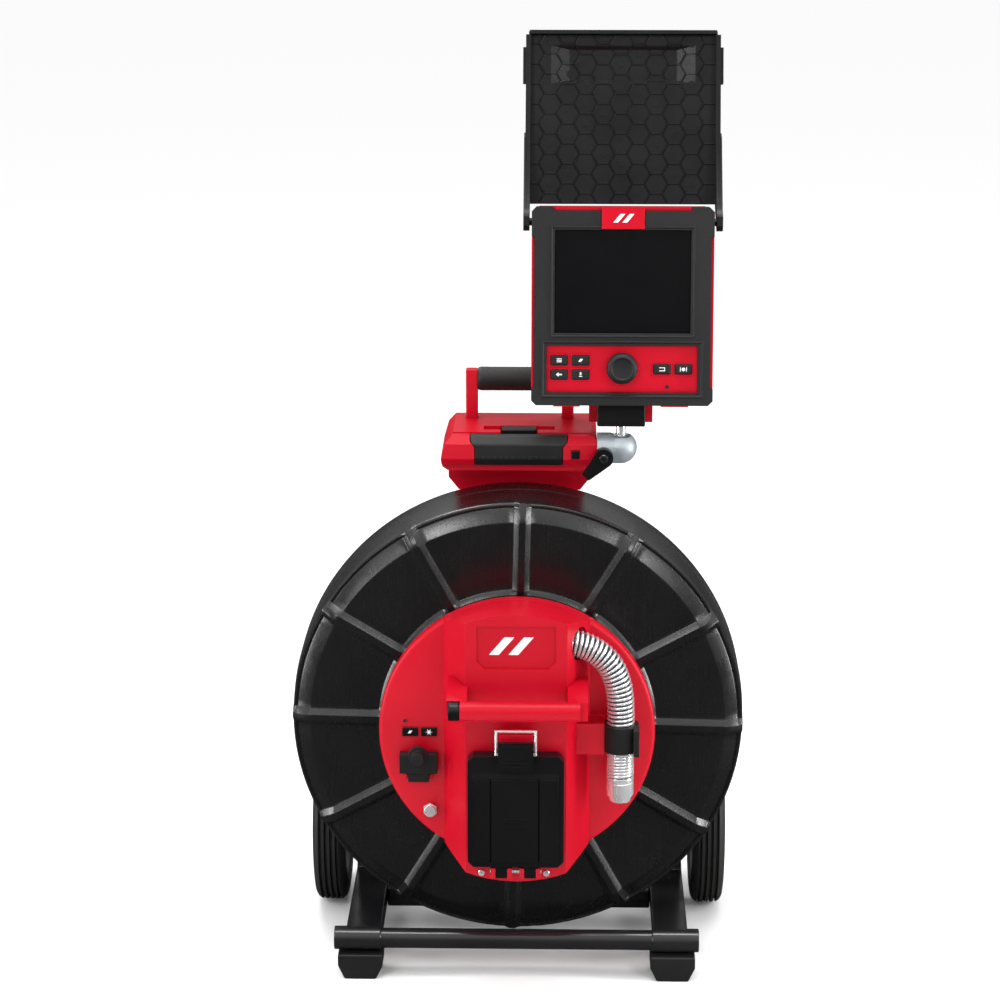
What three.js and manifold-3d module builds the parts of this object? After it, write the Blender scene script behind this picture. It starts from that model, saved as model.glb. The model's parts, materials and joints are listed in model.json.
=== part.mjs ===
// Push-cable inspection camera: a cable drum on a wheeled frame with a battery hub,
// a camera spring, a telescoping handle and a tilting monitor with a folding visor.
// Millimetres, +Z up, front towards -Y, origin on the floor at the middle of the object.
import * as THREE from 'three';
import { mergeVertices } from 'three/addons/utils/BufferGeometryUtils.js';
import Module from 'manifold-3d';

const wasm = await Module();
wasm.setup();

// ---- driving dimensions -------------------------------------------------------------
const GAP = 0.3;              // clearance between touching pieces
const FRONT_Y = -80;          // plane of the drum's front lip
const FLOOR_Z = 7;            // floor level in the working frame
const DRUM_SINK = 4;          // how far the drum and hub sit below the working frame

const DRUM_R = 242;
const DRUM_DEPTH = 125;
const DRUM_SPLIT = 62;        // where the two drum halves meet
const AXIS_Z = 288;           // height of the drum axis
const RIBS = 12;
const RIB_W = 15;
const DRUM_TURN = 1.3;        // degrees, the drum's resting turn
const PANEL_DEPTH = 12;
const PANEL_R = 222;
const COLLAR_R = 154;

const LEG_X = 166.5;
const LEG_W = 37;
const LEG_H = 24;
const LEG_TOP = 51;
const BAR_R = 12.5;           // at its two sleeved ends
const BAR_MID_R = 10.8;
const BAR_HALF = 196;
const BAR_Y = -29;
const BAR_Z = 49;
const FOOT_TOP = 35;
const WHEEL_R = 93;
const RIM_R = 70;
const WHEEL_W = 36;
const WHEEL_X = 213;
const AXLE_Y = 192;
const AXLE_Z = WHEEL_R + FLOOR_Z;
const AXLE_R = 8;
const UPRIGHT_X = 52;
const UPRIGHT_W = 22;
const UPRIGHT_Y = 152;
const SPINDLE_R = 14;

const HUB_R = 146;
const HUB_FACE_Y = -25;
const BLOCK_FACE_Y = -79;
const BLOCK_R = 147;
const BLOCK_FRONT_HALF = 52.5;
const BLOCK_BASE_HALF = 77;
const DOOR_HALF = 50;
const DOOR_LOW = 164;
const DOOR_HIGH = 287;
const DOOR_FACE_Y = -96;
const HINGE_Z = 156;          // door hinge, at HINGE_Y
const HINGE_Y = -87;
const LATCH_Z = 278;          // latch lever's pivot
const BAIL_Z = 291;
const PULL_Y = -115;
const PULL_Z = 343;
const PULL_R = 10;
const SPRING_R = 14.5;
const SPRING_Y = -50;

const HOUSE_HALF = 83;
const HOUSE_LOW = 541;
const HOUSE_TOP = 583;
const HANDLE_ARM = 13;
const HANDLE_LOW = 300;
const GRIP_Z = 626;

const BALL = [108.5, 82, 568];
const BALL_R = 11;
const LEAN_BACK = 8;          // degrees, the monitor's tilt at rest
const MON_HALF = 95.5;
const MON_H = 208;
const MON_LOW = 47;           // monitor's bottom edge above the ball centre
const MON_FACE = -31;         // monitor's front face, from the ball centre
const MON_BACK = 20;
const PIVOT_V = 192;          // visor pivot above the monitor's bottom edge
const PIVOT_Y = -16;
const VISOR_BACK = 31;        // visor panel's inner face behind its pivot
const VISOR_LEN = 183;
const VISOR_START = 23;
const VISOR_OPEN = 8;         // degrees past straight, at rest

const rad = THREE.MathUtils.degToRad;

// ---- materials ----------------------------------------------------------------------
const shade = (color, roughness, metalness = 0) => () =>
  new THREE.MeshStandardMaterial({ color, roughness, metalness });
const red = shade(0xd0141c, 0.42);
const black = shade(0x1c1c1e, 0.5);
const rubber = shade(0x151516, 0.8);
const gloss = shade(0x0c0c0e, 0.2);
const steel = shade(0xb9bcc0, 0.3, 1);
const casting = shade(0x9aa3aa, 0.45, 0.9);
const glass = shade(0x08080a, 0.08);

// ---- solid modelling helpers --------------------------------------------------------
function toSolid(geometry) {
  const g = geometry.clone();
  g.deleteAttribute('normal');
  g.deleteAttribute('uv');
  const merged = mergeVertices(g, 1e-4);
  const mesh = new wasm.Mesh({
    numProp: 3,
    vertProperties: new Float32Array(merged.attributes.position.array),
    triVerts: new Uint32Array(merged.index.array),
  });
  return new wasm.Manifold(mesh);
}

function toGeometry(solid) {
  const mesh = solid.getMesh();
  const g = new THREE.BufferGeometry();
  g.setAttribute('position', new THREE.BufferAttribute(mesh.vertProperties, 3));
  g.setIndex(new THREE.BufferAttribute(mesh.triVerts, 1));
  return g;
}

const join = (...shapes) => toGeometry(shapes.map(toSolid).reduce((a, b) => a.add(b)));
const cut = (shape, ...tools) =>
  toGeometry(tools.map(toSolid).reduce((a, b) => a.subtract(b), toSolid(shape)));
const common = (a, b) => toGeometry(toSolid(a).intersect(toSolid(b)));

// Box from its lowest to its highest corner.
function block(x0, x1, y0, y1, z0, z1) {
  const g = new THREE.BoxGeometry(x1 - x0, y1 - y0, z1 - z0);
  return g.translate((x0 + x1) / 2, (y0 + y1) / 2, (z0 + z1) / 2);
}

// Cylinders along each axis, from one end to the other.
function rodZ(r, x, y, z0, z1, sides = 24, rTop = r) {
  const g = new THREE.CylinderGeometry(rTop, r, z1 - z0, sides);
  return g.rotateX(Math.PI / 2).translate(x, y, (z0 + z1) / 2);
}
function rodY(r, x, z, y0, y1, sides = 24, rBack = r) {
  const g = new THREE.CylinderGeometry(rBack, r, y1 - y0, sides);
  return g.translate(x, (y0 + y1) / 2, z);
}
function rodX(r, y, z, x0, x1, sides = 24) {
  const g = new THREE.CylinderGeometry(r, r, x1 - x0, sides);
  return g.rotateZ(Math.PI / 2).translate((x0 + x1) / 2, y, z);
}

const outline = (points) => new THREE.Shape(points.map(([a, b]) => new THREE.Vector2(a, b)));

// A flat outline pushed along X (points are y, z), Y (x, z) or Z (x, y).
function alongX(points, x0, x1) {
  const g = new THREE.ExtrudeGeometry(outline(points), { depth: x1 - x0, bevelEnabled: false });
  g.applyMatrix4(new THREE.Matrix4().makeBasis(
    new THREE.Vector3(0, 1, 0), new THREE.Vector3(0, 0, 1), new THREE.Vector3(1, 0, 0)));
  return g.translate(x0, 0, 0);
}
function alongY(points, y0, y1) {
  const g = new THREE.ExtrudeGeometry(outline(points), { depth: y1 - y0, bevelEnabled: false });
  return g.rotateX(Math.PI / 2).translate(0, y1, 0);
}
function alongZ(points, z0, z1) {
  const g = new THREE.ExtrudeGeometry(outline(points), { depth: z1 - z0, bevelEnabled: false });
  return g.translate(0, 0, z0);
}

// Rectangle with cut corners, centred on (a, b).
function clipped(a, b, width, height, corner) {
  const w = width / 2;
  const h = height / 2;
  return [
    [a - w + corner, b - h], [a + w - corner, b - h], [a + w, b - h + corner],
    [a + w, b + h - corner], [a + w - corner, b + h], [a - w + corner, b + h],
    [a - w, b + h - corner], [a - w, b - h + corner],
  ];
}

// Ring turned about the Y axis from a closed outline of (radius, y) points, either way round.
function ring(points, segments) {
  const profile = points.map(([r, y]) => new THREE.Vector2(r, y));
  if (THREE.ShapeUtils.isClockWise(profile)) profile.reverse();
  return new THREE.LatheGeometry([...profile, profile[0]], segments);
}

// The same, about the drum's axis.
const turned = (points, segments = 48) => ring(points, segments).translate(0, 0, AXIS_Z);

// Round bar bent along a list of points.
function bent(points, r, steps = 30, sides = 8) {
  const corners = points.map((p) => new THREE.Vector3(...p));
  const path = new THREE.CatmullRomCurve3(corners, false, 'centripetal');
  const round = Array.from({ length: sides }, (_, i) => {
    const angle = (2 * Math.PI * i) / sides;
    return [r * Math.cos(angle), r * Math.sin(angle)];
  });
  return new THREE.ExtrudeGeometry(outline(round), { steps, extrudePath: path, bevelEnabled: false });
}

function piece(name, geometry, material, parent) {
  const mesh = new THREE.Mesh(geometry, material());
  mesh.name = name;
  parent.add(mesh);
  return mesh;
}

const reel = new THREE.Group();
const body = new THREE.Group();
body.position.set(0, FRONT_Y, -FLOOR_Z);
reel.add(body);
const drumUnit = new THREE.Group();
drumUnit.position.z = -DRUM_SINK;
body.add(drumUnit);

// ---- frame --------------------------------------------------------------------------
function frame() {
  const rise = 170;
  const bendOut = 30;
  const back = AXLE_Y + 16;
  const legLow = LEG_TOP - LEG_H;
  for (const [side, sign] of [['left', -1], ['right', 1]]) {
    const x = sign * LEG_X;
    const x0 = x - LEG_W / 2;
    const x1 = x + LEG_W / 2;
    const side2d = [
      [BAR_Y, legLow], [back - bendOut, legLow], [back - 9, legLow + 9], [back, legLow + bendOut],
      [back, rise], [back - 32, rise], [back - 32, LEG_TOP + 16], [back - 48, LEG_TOP], [BAR_Y, LEG_TOP],
    ];
    const barBore = rodX(BAR_R + GAP, BAR_Y, BAR_Z, x0 - 1, x1 + 1);
    const axleBore = rodX(AXLE_R + GAP, AXLE_Y, AXLE_Z, x0 - 1, x1 + 1);
    piece(`${side}_leg`, cut(alongX(side2d, x0, x1), barBore, axleBore), gloss, body);

    const fx = sign * 168;
    const foot = [
      [-24, FOOT_TOP], [24, FOOT_TOP], [24, 22], [17, FLOOR_Z], [-17, FLOOR_Z], [-24, 22],
    ];
    const footBody = alongY(foot.map(([a, b]) => [fx + a, b]), -44, -8);
    const clearBar = rodX(BAR_R + GAP, BAR_Y, BAR_Z, fx - 30, fx + 30);
    const clearLeg = block(x0 - GAP, x1 + GAP, BAR_Y - GAP, 0, legLow - GAP, FOOT_TOP + 1);
    piece(`${side}_foot`, cut(footBody, clearBar, clearLeg), rubber, body);

    const ux = sign * UPRIGHT_X;
    const half = UPRIGHT_W / 2;
    const tube = block(ux - half, ux + half, UPRIGHT_Y - half, UPRIGHT_Y + half, 118, 532);
    const bore = HANDLE_ARM / 2 + GAP;
    const hole = block(ux - bore, ux + bore, UPRIGHT_Y - bore, UPRIGHT_Y + bore, 280, 540);
    piece(`${side}_upright`, cut(tube, hole), gloss, body);
  }

  const sleeve = LEG_X - LEG_W / 2 - 2;
  const bar = join(
    rodX(BAR_MID_R, BAR_Y, BAR_Z, -sleeve - 2, sleeve + 2, 32),
    rodX(BAR_R, BAR_Y, BAR_Z, -BAR_HALF, -sleeve, 32),
    rodX(BAR_R, BAR_Y, BAR_Z, sleeve, BAR_HALF, 32));
  piece('front_bar', bar, gloss, body);
  const inner = LEG_X - LEG_W / 2 - GAP;
  piece('lower_crossbar', block(-inner, inner, 112, 136, 24, 46), gloss, body);
  piece('rear_crossbar', block(-inner, inner, 163 + GAP, 188, 122, 152), gloss, body);
  piece('wheel_axle', rodX(AXLE_R, AXLE_Y, AXLE_Z, -WHEEL_X - 14, WHEEL_X + 14), steel, body);

  const plateHalf = UPRIGHT_X - UPRIGHT_W / 2 - GAP;
  const plate = block(-plateHalf, plateHalf, 144, 160, AXIS_Z - 42, AXIS_Z + 42);
  piece('spindle_plate', cut(plate, rodY(SPINDLE_R + GAP, 0, AXIS_Z, 140, 164)), gloss, drumUnit);
  piece('spindle', rodY(SPINDLE_R, 0, AXIS_Z, -16, 164, 32), steel, drumUnit);
}

function wheels() {
  for (const [side, sign] of [['left', -1], ['right', 1]]) {
    const x = sign * WHEEL_X;
    const half = WHEEL_W / 2;
    const outward = (points) => ring(points, 32).rotateZ(Math.PI / 2).translate(x, AXLE_Y, AXLE_Z);
    const lip = RIM_R - 10;
    const rim = [
      [AXLE_R + GAP, -half], [24, -half], [24, -7], [lip, -7], [lip, -half + 2], [RIM_R, -half + 2],
      [RIM_R, half - 2], [lip, half - 2], [lip, 7], [24, 7], [24, half], [AXLE_R + GAP, half],
    ];
    piece(`${side}_wheel`, outward(rim), black, body);
    const tread = [[RIM_R + GAP, -half], [WHEEL_R - 6, -half], [WHEEL_R, -half + 5]];
    for (const groove of [-6, 6]) {
      tread.push([WHEEL_R, groove - 1.4], [WHEEL_R - 4, groove - 0.8]);
      tread.push([WHEEL_R - 4, groove + 0.8], [WHEEL_R, groove + 1.4]);
    }
    tread.push([WHEEL_R, half - 5], [WHEEL_R - 6, half], [RIM_R + GAP, half]);
    piece(`${side}_tyre`, outward(tread), rubber, body);
  }
}

// ---- drum ---------------------------------------------------------------------------
function drum() {
  const front = turned([
    [DRUM_R, DRUM_SPLIT], [DRUM_R, 4], [DRUM_R - 4, 0], [PANEL_R + 7, 0], [PANEL_R, PANEL_DEPTH],
    [COLLAR_R + 8, PANEL_DEPTH], [COLLAR_R, 2], [112, 2], [112, 7], [COLLAR_R - 4, 7],
    [COLLAR_R + 4, PANEL_DEPTH + 5], [PANEL_R - 2, PANEL_DEPTH + 5],
    [DRUM_R - 5, 14], [DRUM_R - 5, DRUM_SPLIT],
  ]);
  const ribs = [];
  for (let i = 0; i < RIBS; i += 1) {
    const low = RIB_W / 2 + 3;
    const top = RIB_W / 2 - 1;
    const section = [[-low, PANEL_DEPTH + 1], [-top, 2], [top, 2], [low, PANEL_DEPTH + 1]];
    const rib = alongZ(section, COLLAR_R - 2, PANEL_R + 10);
    ribs.push(rib.rotateY((2 * Math.PI * i) / RIBS + rad(DRUM_TURN)).translate(0, 0, AXIS_Z));
  }
  piece('drum_front_shell', join(front, ...ribs), black, drumUnit);

  const rear = turned([
    [DRUM_R, DRUM_SPLIT + GAP], [DRUM_R, 92], [DRUM_R - 8, 108], [DRUM_R - 30, 118], [70, DRUM_DEPTH],
    [28 + GAP, DRUM_DEPTH], [28 + GAP, 108], [40, 108], [44, 118], [DRUM_R - 34, 112],
    [DRUM_R - 14, 104], [DRUM_R - 5, 91], [DRUM_R - 5, DRUM_SPLIT + GAP],
  ]);
  piece('drum_rear_shell', rear, black, drumUnit);

  const bearing = [[SPINDLE_R + GAP, 108], [28, 108], [28, 124], [SPINDLE_R + GAP, 124]];
  piece('drum_bearing', turned(bearing, 32), steel, drumUnit);
  const coil = [[168, 24], [226, 24], [231, 32], [231, 86], [222, 100], [168, 100]];
  piece('push_cable_coil', turned(coil, 32), rubber, drumUnit);
}

// ---- hub ----------------------------------------------------------------------------
// The centre block's outer shape, grown by a clearance where another piece is cut to it.
function centreBlock(grow = 0) {
  const sides = alongZ([
    [-BLOCK_BASE_HALF - grow, HUB_FACE_Y], [-BLOCK_FRONT_HALF - grow, BLOCK_FACE_Y - grow],
    [BLOCK_FRONT_HALF + grow, BLOCK_FACE_Y - grow], [BLOCK_BASE_HALF + grow, HUB_FACE_Y],
  ], AXIS_Z - 200, AXIS_Z + 200);
  const disc = rodY(BLOCK_R + grow, 0, AXIS_Z, BLOCK_FACE_Y - 5, HUB_FACE_Y, 64);
  return common(sides, disc);
}

function hub() {
  const base = turned([
    [SPINDLE_R + GAP, -10], [SPINDLE_R + GAP, 30], [60, 30], [60, -8], [HUB_R - 4, -8], [HUB_R, -12],
    [HUB_R, HUB_FACE_Y + 5], [HUB_R - 4, HUB_FACE_Y], [16, HUB_FACE_Y], [16, -18], [SPINDLE_R + GAP, -18],
  ], 64);
  const buttonWells = [-112.8, -92.8].map((x) => block(x - 8.7, x + 8.7, -30, -18, 282.7, 293.3));
  const socket = rodY(6 + GAP, -92, 200, -30, -12);
  piece('hub_base', cut(base, ...buttonWells, socket), red, drumUnit);
  [['left', -112.8], ['right', -92.8]].forEach(([side, x]) => {
    piece(`hub_button_${side}`, block(x - 8.3, x + 8.3, -27.2, -20.5, 283.1, 292.9), black, drumUnit);
  });
  const connector = join(rodY(6, -92, 200, -33, -13), rodY(8, -92, 200, -28, -25.3, 6));
  piece('chrome_connector', connector, steel, drumUnit);

  const bay = block(-42, 42, BLOCK_FACE_Y - 1, -36, 168, 282);
  const mouth = rodX(SPRING_R + 3, SPRING_Y, 395, 42, 90, 32);
  const badge = alongY([[-41, 384], [-33, 376], [33, 376], [41, 384], [41, 422], [-41, 422]],
    BLOCK_FACE_Y - 1, BLOCK_FACE_Y + 3);
  const hook = block(-17, 17, -98, BLOCK_FACE_Y + 1, 300, 311);
  const seat = block(54, 92, -56, HUB_FACE_Y - GAP, 275, 309);
  const knuckles = [-26, -8.7, 4, 21.3].map((x) =>
    block(x, x + 4.7, -92, BLOCK_FACE_Y + 1, HINGE_Z - 6, HINGE_Z + 5));
  const pinBore = rodX(2.3, HINGE_Y, HINGE_Z, -30, 30, 16);
  const shell = cut(centreBlock(), block(-90, 90, HUB_FACE_Y - GAP, HUB_FACE_Y + 1, 100, 480));
  const solid = cut(join(shell, hook, seat, ...knuckles), bay, mouth, badge, pinBore);
  piece('hub_cover', solid, red, drumUnit);
  piece('battery_pack', block(-38, 38, -74, -40, 172, 278), black, drumUnit);
  piece('door_hinge_pin', rodX(2, HINGE_Y, HINGE_Z, -27, 27, 16), steel, drumUnit);

  const armSide = [
    [PULL_Y - 3, PULL_Z - 9], [-50, PULL_Z - 2], [-50, PULL_Z + 16], [PULL_Y + 16, PULL_Z + 14],
    [PULL_Y + 1, PULL_Z + 9.5],
  ];
  const arms = [alongX(armSide, -71, -50), alongX(armSide, 53, 74)];
  const bar = rodX(PULL_R, PULL_Y, PULL_Z, -57, 66);
  const capRoom = rodX(PULL_R + GAP, PULL_Y, PULL_Z, -72, -57);
  piece('hub_handle', cut(join(bar, ...arms), centreBlock(GAP), capRoom), red, drumUnit);
  piece('handle_end_cap', rodX(PULL_R, PULL_Y, PULL_Z, -69, -57 - GAP), black, drumUnit);
}

function batteryDoor() {
  const midZ = (DOOR_LOW + DOOR_HIGH) / 2;
  const back = BLOCK_FACE_Y - GAP;
  const shape = clipped(0, midZ, 2 * DOOR_HALF, DOOR_HIGH - DOOR_LOW, 6);
  const panel = alongY(shape, DOOR_FACE_Y, back);
  const hollow = block(-44, 44, DOOR_FACE_Y + 5, back + 1, DOOR_LOW + 6, DOOR_HIGH - 6);
  const knuckles = [-15, 15].map((x) => block(x - 6, x + 6, -92, -82, HINGE_Z - 6, DOOR_LOW + 3));
  const grooves = [-26, 24].map((x) => block(x - 1, x + 1, DOOR_FACE_Y - 1, DOOR_FACE_Y + 2, 169, 262));
  const lug = block(-12, 12, -101.5, DOOR_FACE_Y + 1, LATCH_Z - 3.5, LATCH_Z + 3.5);
  const leverBore = rodX(1.8, -100, LATCH_Z, -13, 13, 12);
  const bore = rodX(2.3, HINGE_Y, HINGE_Z, -30, 30, 16);
  const solid = cut(join(panel, ...knuckles, lug), hollow, ...grooves, bore, leverBore);
  piece('battery_door', solid, black, drumUnit);

  const plateLow = LATCH_Z - 2.5;
  const plate = block(-18.2, 18.2, -108, -104, plateLow, 306);
  const cheeks = [[-16, -12.6], [12.6, 16]].map(([x0, x1]) =>
    block(x0, x1, -105, -97.5, plateLow, BAIL_Z + 5));
  const pivot = rodX(1.5, -100, LATCH_Z, -16, 16, 12);
  const bailHole = rodX(1.9, -101, BAIL_Z, -20, 20, 12);
  piece('latch_plate', cut(join(plate, ...cheeks, pivot), bailHole), black, drumUnit);
  const bailRise = 22.5;
  const bailTop = rodX(1.5, -94, BAIL_Z + bailRise, -21.9, 21.9, 8);
  const legs = [-20.4, 20.4].map((x) => {
    const g = new THREE.CylinderGeometry(1.5, 1.5, Math.hypot(7, bailRise) + 1, 8);
    return g.rotateX(Math.PI / 2 - Math.atan2(7, bailRise)).translate(x, -97.5, BAIL_Z + bailRise / 2);
  });
  const feet = [rodX(1.5, -101, BAIL_Z, -21.9, -14, 8), rodX(1.5, -101, BAIL_Z, 14, 21.9, 8)];
  piece('latch_bail', join(bailTop, ...legs, ...feet), steel, drumUnit);
}

function hubFittings() {
  const cover = join(
    block(-124, -84, -36, HUB_FACE_Y - GAP, 244, 266),
    rodY(10.5, -104, 265, -40, -35), rodY(7, -104, 265, -52, -36),
    block(-115, -93, -34, HUB_FACE_Y - GAP, 234, 245));
  piece('port_cover', cover, rubber, drumUnit);

  const springPath = [
    [50, SPRING_Y, 397], [58, SPRING_Y, 396.3], [71, SPRING_Y, 392.5], [83, SPRING_Y, 386],
    [93, SPRING_Y, 377], [101, SPRING_Y, 364.5], [107, SPRING_Y, 345], [109, SPRING_Y, 319],
    [109, SPRING_Y, 290], [109, SPRING_Y, 268], [109, SPRING_Y, 250],
  ];
  piece('camera_spring', bent(springPath, SPRING_R, 26, 12), steel, drumUnit);
  const head = join(
    rodZ(14, 109, SPRING_Y, 227, 250 - GAP, 32), rodZ(11.5, 109, SPRING_Y, 222, 228, 32, 14));
  piece('camera_head', cut(head, rodZ(8, 109, SPRING_Y, 221, 224.5, 24)), steel, drumUnit);

  const band = rodZ(SPRING_R + 4.5, 109, SPRING_Y, 279, 308, 32);
  const flap = block(122, 128, -72, -58, 278, 307);
  const springRoom = rodZ(SPRING_R + 2 * GAP, 109, SPRING_Y, 270, 315, 32);
  const seatRoom = block(50, 92 + GAP, -60, -20, 270, 315);
  const strap = cut(join(band, flap), springRoom, seatRoom);
  piece('strap_clamp', strap, rubber, drumUnit);
}

// ---- top housing and handle ---------------------------------------------------------
function topHousing() {
  const nose = [
    [84, HOUSE_LOW + 6], [76, HOUSE_LOW + 8], [69, HOUSE_LOW + 16], [69, HOUSE_LOW + 32],
    [76, HOUSE_LOW + 40], [84, HOUSE_LOW + 41],
  ];
  const main = alongX([
    [84, HOUSE_LOW], [138, HOUSE_LOW], [138, HOUSE_TOP], [84, HOUSE_TOP],
  ], -HOUSE_HALF, HOUSE_HALF);
  // The grip's front outline, wider along its top edge; grown where the housing is cut to it.
  const gripOutline = (grow) => [
    [-47 - grow, HOUSE_LOW - 1], [47 + grow, HOUSE_LOW - 1], [47 + grow, HOUSE_LOW + 29],
    [52 + grow, HOUSE_LOW + 35], [52 + grow, HOUSE_LOW + 42], [-52 - grow, HOUSE_LOW + 42],
    [-52 - grow, HOUSE_LOW + 35], [-47 - grow, HOUSE_LOW + 29],
  ];
  const ends = cut(alongX(nose, -HOUSE_HALF, HOUSE_HALF), alongY(gripOutline(GAP), 60, 84 - GAP));
  const endShape = alongY([
    [-76, HOUSE_LOW], [HOUSE_HALF, HOUSE_LOW], [HOUSE_HALF, HOUSE_TOP - 6], [78, HOUSE_TOP],
    [-70, HOUSE_TOP], [-78, HOUSE_TOP - 8.5], [-HOUSE_HALF, HOUSE_LOW + 16], [-82, HOUSE_LOW + 4],
  ], 60, 180);
  const pocket = block(-20, 20, 83, 114, HOUSE_TOP - 10, HOUSE_TOP + 1);
  const dish = block(-38, 38, 96, 112, HOUSE_TOP - 4, HOUSE_TOP + 1);
  const well = block(55.7, 64.8, 60, 78, 557.7, 567.3);
  const frontHalf = common(join(main, ends), endShape);
  piece('top_housing_front', cut(frontHalf, pocket, dish, well), red, body);
  const gripSide = [...nose.slice(1, 5), [84 - 2 * GAP, HOUSE_LOW + 40.8], [84 - 2 * GAP, HOUSE_LOW + 6.2]];
  piece('front_grip', common(alongX(gripSide, -52, 52), alongY(gripOutline(0), 60, 90)), rubber, body);
  piece('handle_latch', block(-18.7, 18.7, 92, 108, HOUSE_TOP - 9.7, HOUSE_TOP + 1), black, body);
  piece('housing_button', block(56, 64.5, 67, 74, 558, 567), black, body);

  const upper = common(
    block(-HOUSE_HALF, HOUSE_HALF, 138 + GAP, 172, HOUSE_LOW, HOUSE_TOP), endShape);
  const lower = alongY([
    [-66, 508], [66, 508], [77, 522], [77, HOUSE_LOW + 1], [-77, HOUSE_LOW + 1], [-77, 522],
  ], 128, 172);
  const tubeHoles = [-1, 1].map((s) => {
    const h = UPRIGHT_W / 2 + GAP;
    return block(s * UPRIGHT_X - h, s * UPRIGHT_X + h, UPRIGHT_Y - h, UPRIGHT_Y + h, 500, 532 + GAP);
  });
  const armHoles = [-1, 1].map((s) => {
    const h = HANDLE_ARM / 2 + GAP;
    return block(s * UPRIGHT_X - h, s * UPRIGHT_X + h, UPRIGHT_Y - h, UPRIGHT_Y + h, 520, HOUSE_TOP + 1);
  });
  const under = block(-90, 90, 120, 138 + GAP, HOUSE_LOW - GAP, HOUSE_LOW + 2);
  piece('top_housing_rear', cut(join(upper, lower), ...tubeHoles, ...armHoles, under), red, body);

  const h = HANDLE_ARM / 2;
  const posts = [-1, 1].map((s) => block(s * UPRIGHT_X - h, s * UPRIGHT_X + h,
    UPRIGHT_Y - h, UPRIGHT_Y + h, HANDLE_LOW, GRIP_Z + 11));
  const cross = block(-UPRIGHT_X, UPRIGHT_X, UPRIGHT_Y - 4, UPRIGHT_Y + 4, GRIP_Z - 4, GRIP_Z + 4);
  piece('telescoping_handle', join(...posts, cross), red, body);
  const grip = rodX(13, UPRIGHT_Y, GRIP_Z, -UPRIGHT_X + h + GAP, UPRIGHT_X - h - GAP, 24);
  const slot = block(-60, 60, UPRIGHT_Y - 4 - GAP, UPRIGHT_Y + 4 + GAP, GRIP_Z - 4 - GAP, GRIP_Z + 4 + GAP);
  piece('rear_grip', cut(grip, slot), rubber, body);
}

// ---- ball mount ---------------------------------------------------------------------
function ballMount() {
  const [bx, by, bz] = BALL;
  const socket = new THREE.SphereGeometry(17.5, 20, 12).translate(bx, by, bz);
  const arm = rodX(16.5, by, bz - 1, HOUSE_HALF + GAP, bx, 20);
  const boss = rodY(6, 90, 563, 61, 80);
  const cavity = new THREE.SphereGeometry(BALL_R + 0.6, 20, 12).translate(bx, by, bz);
  const mouth = rodZ(9.8, bx, by, bz + 4, bz + 22, 24, 13.5);
  const lidAway = block(bx - 30, bx + 30, by - 30, by + 30, bz + 15, bz + 30);
  piece('ball_housing', cut(join(socket, arm, boss), cavity, mouth, lidAway), casting, body);
  piece('pivot_ball', new THREE.SphereGeometry(BALL_R, 16, 10).translate(bx, by, bz), steel, body);

  const blade = [[-9, 4.5], [-22.5, -17.5], [-15.5, -24], [7.5, -7]];
  const lever = join(rodY(10.2, 0, 0, 50, 61 - GAP, 24), alongY(blade, 50, 56));
  piece('clamp_lever', lever.translate(90, 0, 563), black, body);
}

// ---- monitor ------------------------------------------------------------------------
const monitor = new THREE.Group();
monitor.position.set(...BALL);
monitor.rotation.x = -rad(LEAN_BACK);
body.add(monitor);
const up = (v) => MON_LOW + v;

// Plate in the monitor's plane: u across, v up from its bottom edge.
const slab = (u0, u1, v0, v1, y0, y1) => block(u0, u1, y0, y1, up(v0), up(v1));

const KEYS = {
  menu: [-66, 47.5], record: [-43.5, 47.5], back: [-66, 32.5], audio: [-43.5, 32.5],
  enter: [42, 38.5], photo: [64.5, 38.5],
};
const KEY_W = 18;
const KEY_H = 10.4;
const KNOB_V = 39.5;

function mount() {
  piece('ball_stud', rodZ(5, 0, 0, BALL_R + GAP, 38, 20), steel, monitor);
  const foot = block(-25.5, 25.5, -12, 16, 23, MON_LOW - GAP);
  piece('mount_block', cut(foot, rodZ(5 + GAP, 0, 0, 20, 38 + GAP, 20)), black, monitor);
}

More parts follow.
